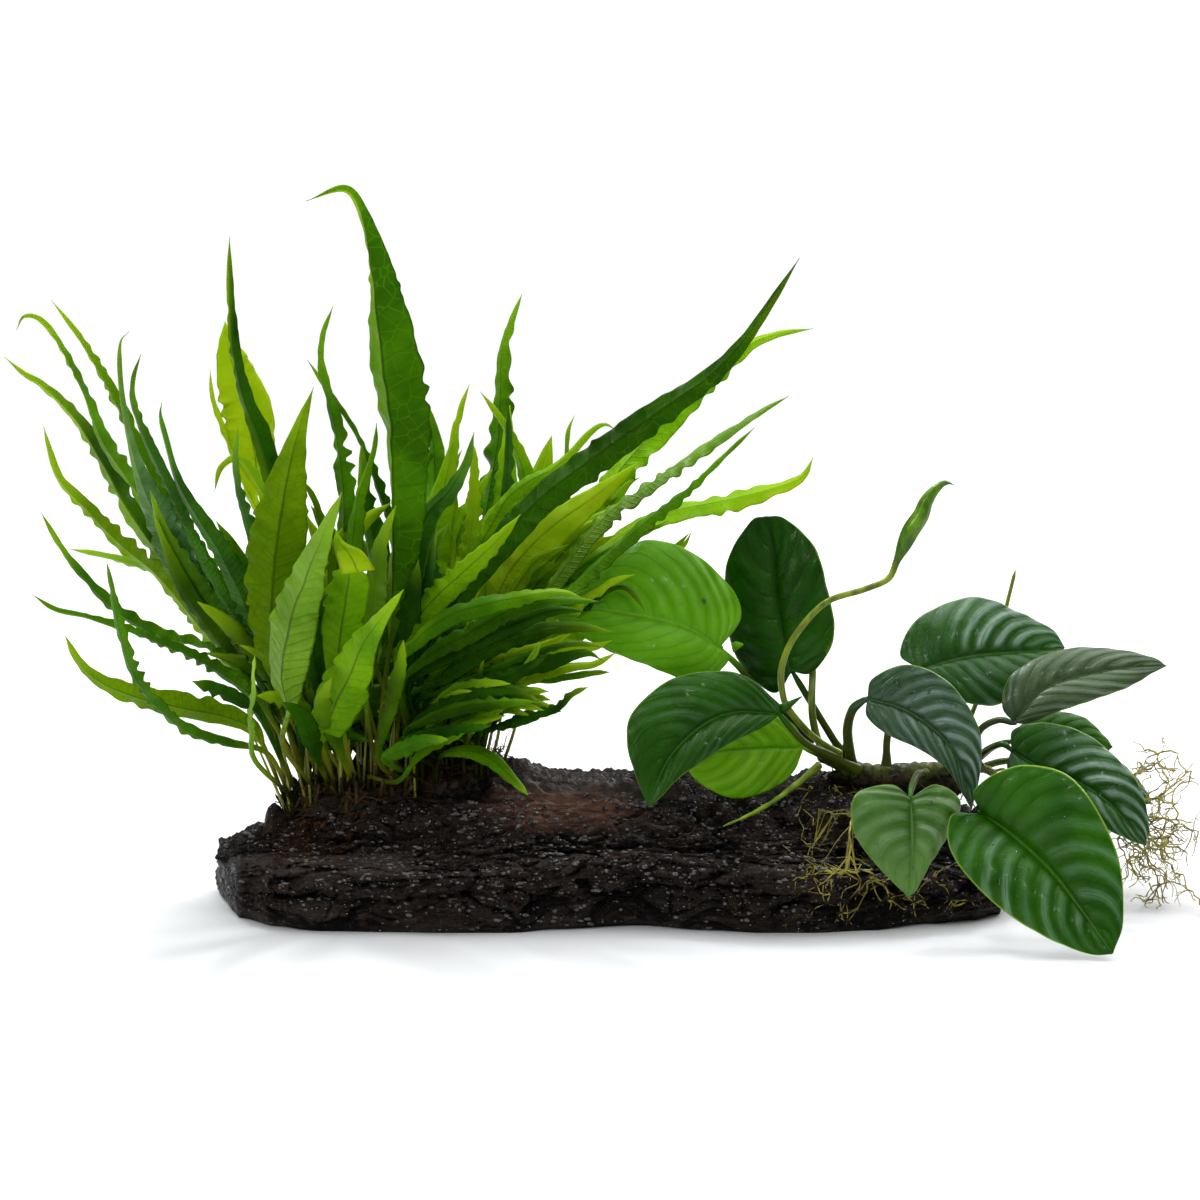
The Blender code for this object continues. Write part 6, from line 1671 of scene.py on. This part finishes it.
def anubias_roots(surface, root_olive):
    """The roots down the wood's front and the loose tuft at the right, thick ones first."""
    rng = random.Random(ROOT_SEED)
    front = Batch()
    starts = thick_roots(front, FRONT_ROOTS, 0.45, 0.9, 3, surface)
    tips = rootlets(front, starts, FRONT_ROOTLETS[0], rng, (10, 32), 0.24, (0, 0, -0.08), surface)
    rootlets(front, tips, FRONT_ROOTLETS[1], rng, (4, 15), 0.16, (0, 0, -0.05), surface)
    crossing = [(draped(surface, across, up, 0.5, -38), np.array((0.4, 0, -0.4)))
                for across, up in CROSSING_ROOTS]
    rootlets(front, crossing, FRONT_ROOTLETS[2], rng, (10, 26), 0.24, (0.03, 0, -0.06), surface)
    front.piece("anubias_front_rootlets", root_olive, "anubias_root", "anubias_front_roots")
    tuft = Batch()
    starts = thick_roots(tuft, TUFT_ROOTS, 0.55, 1.6, 7)
    core = [(seen(*TUFT_CORE) + jitter(rng, 4.2), np.array((0, 0, 0.01))) for _ in range(TUFT_CORE_ROOTS)]
    tips = rootlets(tuft, starts + core, TUFT_ROOTLETS[0], rng, (7, 18), 0.33, (0, 0, -0.05), box=TUFT_ROOM)
    rootlets(tuft, tips, TUFT_ROOTLETS[1], rng, (3, 9), 0.24, (0, 0, -0.04), box=TUFT_ROOM)
    tuft.piece("anubias_tuft_rootlets", root_olive, "anubias_root", "anubias_root_tuft")


# Water beads that lie on the leaves: which leaf, how many, and the part of the leaf they lie on.
BEADS = (
    (9, 16, (0.15, 0.8), (-0.9, -0.2)), (9, 5, (0.2, 0.9), (0.1, 0.8)), (8, 5, (0.2, 0.7), (-0.8, 0.8)),
    (6, 9, (0.1, 0.5), (0.1, 0.9)), (10, 4, (0.3, 0.8), (-0.5, 0.7)), (1, 4, (0.3, 0.8), (0.1, 0.8)),
)


BEAD_SIDES = 14


def water_beads(leaves, material):
    rng = random.Random(WATER_SEED)
    batch = Batch()
    angles = np.arange(BEAD_SIDES) * math.tau / BEAD_SIDES
    for number, count, along, across in BEADS:
        grid, face = leaves[number - 1]
        for _ in range(count):
            row = int(rng.uniform(*along) * (LEAF_ROWS - 1))
            wanted = rng.uniform(*across)
            column = min(range(len(LEAF_ACROSS)), key=lambda c: abs(LEAF_ACROSS[c] - wanted))
            point = grid[row][column]
            normal = face[row]
            side = unit(np.cross(normal, (0.2, 0.3, 0.9)))
            other = np.cross(normal, side)
            size = rng.uniform(0.35, 0.95)
            stretch = rng.uniform(1.0, 1.7)
            rings = []
            for level in np.linspace(0.05, 0.97, 9):
                high = -0.35 + 1.0 * level
                wide = math.sqrt(max(0.02, math.sin(math.pi * min(1, 0.25 + 0.75 * level))))
                wide = wide * (1.02 - 0.25 * level) * (1.0 if level < 0.9 else 0.35)
                rings.append(point + normal * (size * high * 0.62) + size * wide
                             * (np.cos(angles)[:, None] * side + stretch * np.sin(angles)[:, None] * other))
            batch.rings(np.array(rings))
    batch.piece("water_beads", material, "anubias_leaf")


# Studio

FLOOR_RADIUS = 0.8
FLOOR_CORNERS = 96
FLOOR_COLOUR = (0.77, 0.77, 0.78, 1)
# The surround's light on the object, and how much brighter the surround itself is in the pictures.
WORLD_LIGHT = 0.26
SEEN_LIGHT = 0.79
# Soft lamps: name, place, aim and size in metres, power in watts, and colour.
LAMPS = (
    ("overhead", (0.05, 0.35, 1.3), (0, 0.05, 0.0), (2.6, 1.8), 37, (0.96, 0.98, 1.0)),
    ("front_left", (-1.1, -1.1, 0.95), (0, 0, 0.08), (0.7, 0.7), 3.5, (1.0, 0.98, 0.95)),
    ("glint", (-0.45, 0.35, 1.05), (0, 0, 0.05), (0.12, 0.12), 4.5, (0.92, 0.97, 1.0)),
    ("glint_front", (0.35, -1.15, 1.0), (0, 0, 0.05), (0.08, 0.08), 2.6, (0.95, 0.98, 1.0)),
    ("glint_left", (-0.9, -0.75, 0.75), (0, 0, 0.05), (0.08, 0.08), 1.8, (0.95, 0.98, 1.0)),
    ("back_right", (0.9, 1.1, 0.8), (0, 0, 0.1), (0.8, 0.8), 12, (1.0, 1.0, 1.0)),
)
# The camera's lens and sensor in millimetres.
LENS = 135
SENSOR = 36


def studio_floor():
    """The white floor that the object stands on in the pictures."""
    mesh = bpy.data.meshes.new("studio_floor")
    rim = [(FLOOR_RADIUS * math.cos(a), FLOOR_RADIUS * math.sin(a), 0)
           for a in np.linspace(0, math.tau, FLOOR_CORNERS + 1)[:-1]]
    mesh.from_pydata(rim, [], [tuple(range(FLOOR_CORNERS))])
    floor = bpy.data.objects.new("studio_floor", mesh)
    bpy.context.scene.collection.objects.link(floor)
    made, tree, _ = new_material("studio_floor")
    shader = node(tree, "ShaderNodeBsdfPrincipled", {"Base Color": FLOOR_COLOUR, "Roughness": 0.9,
                                                     "Specular IOR Level": 0.1})
    mesh.materials.append(finished(made, shader.outputs[0]))


def studio():
    """A white floor and surround, soft lights, and the camera of the front view."""
    scene = bpy.context.scene
    studio_floor()
    world = bpy.data.worlds.new("studio")
    world.use_nodes = True
    scene.world = world
    tree = world.node_tree
    tree.nodes.clear()
    rays = node(tree, "ShaderNodeLightPath").outputs["Is Camera Ray"]
    strength = calc(tree, "MULTIPLY_ADD", rays, SEEN_LIGHT, WORLD_LIGHT)
    back = node(tree, "ShaderNodeBackground", {"Color": (1, 1, 1, 1), "Strength": strength})
    node(tree, "ShaderNodeOutputWorld", {0: back.outputs[0]})
    for name, place, aim, size, power, colour in LAMPS:
        lamp = bpy.data.lights.new(name, "AREA")
        lamp.shape = "RECTANGLE"
        lamp.size, lamp.size_y = size
        lamp.energy = power
        lamp.color = colour
        holder = bpy.data.objects.new(name, lamp)
        holder.location = place
        holder.rotation_euler = (Vector(aim) - Vector(place)).to_track_quat("-Z", "Y").to_euler()
        scene.collection.objects.link(holder)
    camera = bpy.data.cameras.new("front_view")
    camera.lens = LENS
    camera.sensor_width = SENSOR
    holder = bpy.data.objects.new("front_view", camera)
    holder.location = Vector(EYE * METRES)
    holder.rotation_euler = (math.pi / 2 - VIEW_TILT, 0, 0)
    scene.collection.objects.link(holder)
    scene.camera = holder
    scene.view_settings.view_transform = "Standard"


def main():
    surface = driftwood(wood_material("driftwood"))
    wet_beads(surface, bead_material("wet_bark"))
    fern(surface, fern_materials())
    brown = fibre_material("fern_mat", (0.007, 0.0042, 0.0028), (0.028, 0.016, 0.008), rough=(0.25, 0.5))
    fibre = fibre_material("fern_fibres", (0.016, 0.009, 0.004), (0.085, 0.05, 0.017), rough=(0.3, 0.6))
    stipe = stem_material("fern_stipes", (0.13, 0.15, 0.008), (0.32, 0.32, 0.04), freckles=0.3)
    fern_mat(surface, brown, fibre, stipe)
    leaves = anubias_leaves(anubias_materials())
    ringed = stem_material("anubias_rhizome", (0.016, 0.024, 0.003), (0.080, 0.098, 0.010), rings=16,
                           freckles=0.8)
    felted = fibre_material("anubias_felt", (0.010, 0.006, 0.003), (0.05, 0.032, 0.012))
    green = stem_material("anubias_stalk", (0.075, 0.115, 0.003), (0.21, 0.28, 0.012), freckles=0.15)
    budded = stem_material("anubias_bud", (0.03, 0.10, 0.002), (0.15, 0.30, 0.01), rough=(0.16, 0.3))
    rooty = stem_material("anubias_aerial", (0.11, 0.20, 0.004), (0.24, 0.36, 0.015), freckles=0.2)
    olive = stem_material("anubias_roots", (0.15, 0.125, 0.012), (0.42, 0.36, 0.06), freckles=0.25)
    anubias_stems(ringed, felted, green, budded, rooty)
    anubias_roots(surface, olive)
    water_beads(leaves, water_material("water_beads"))
    studio()


main()
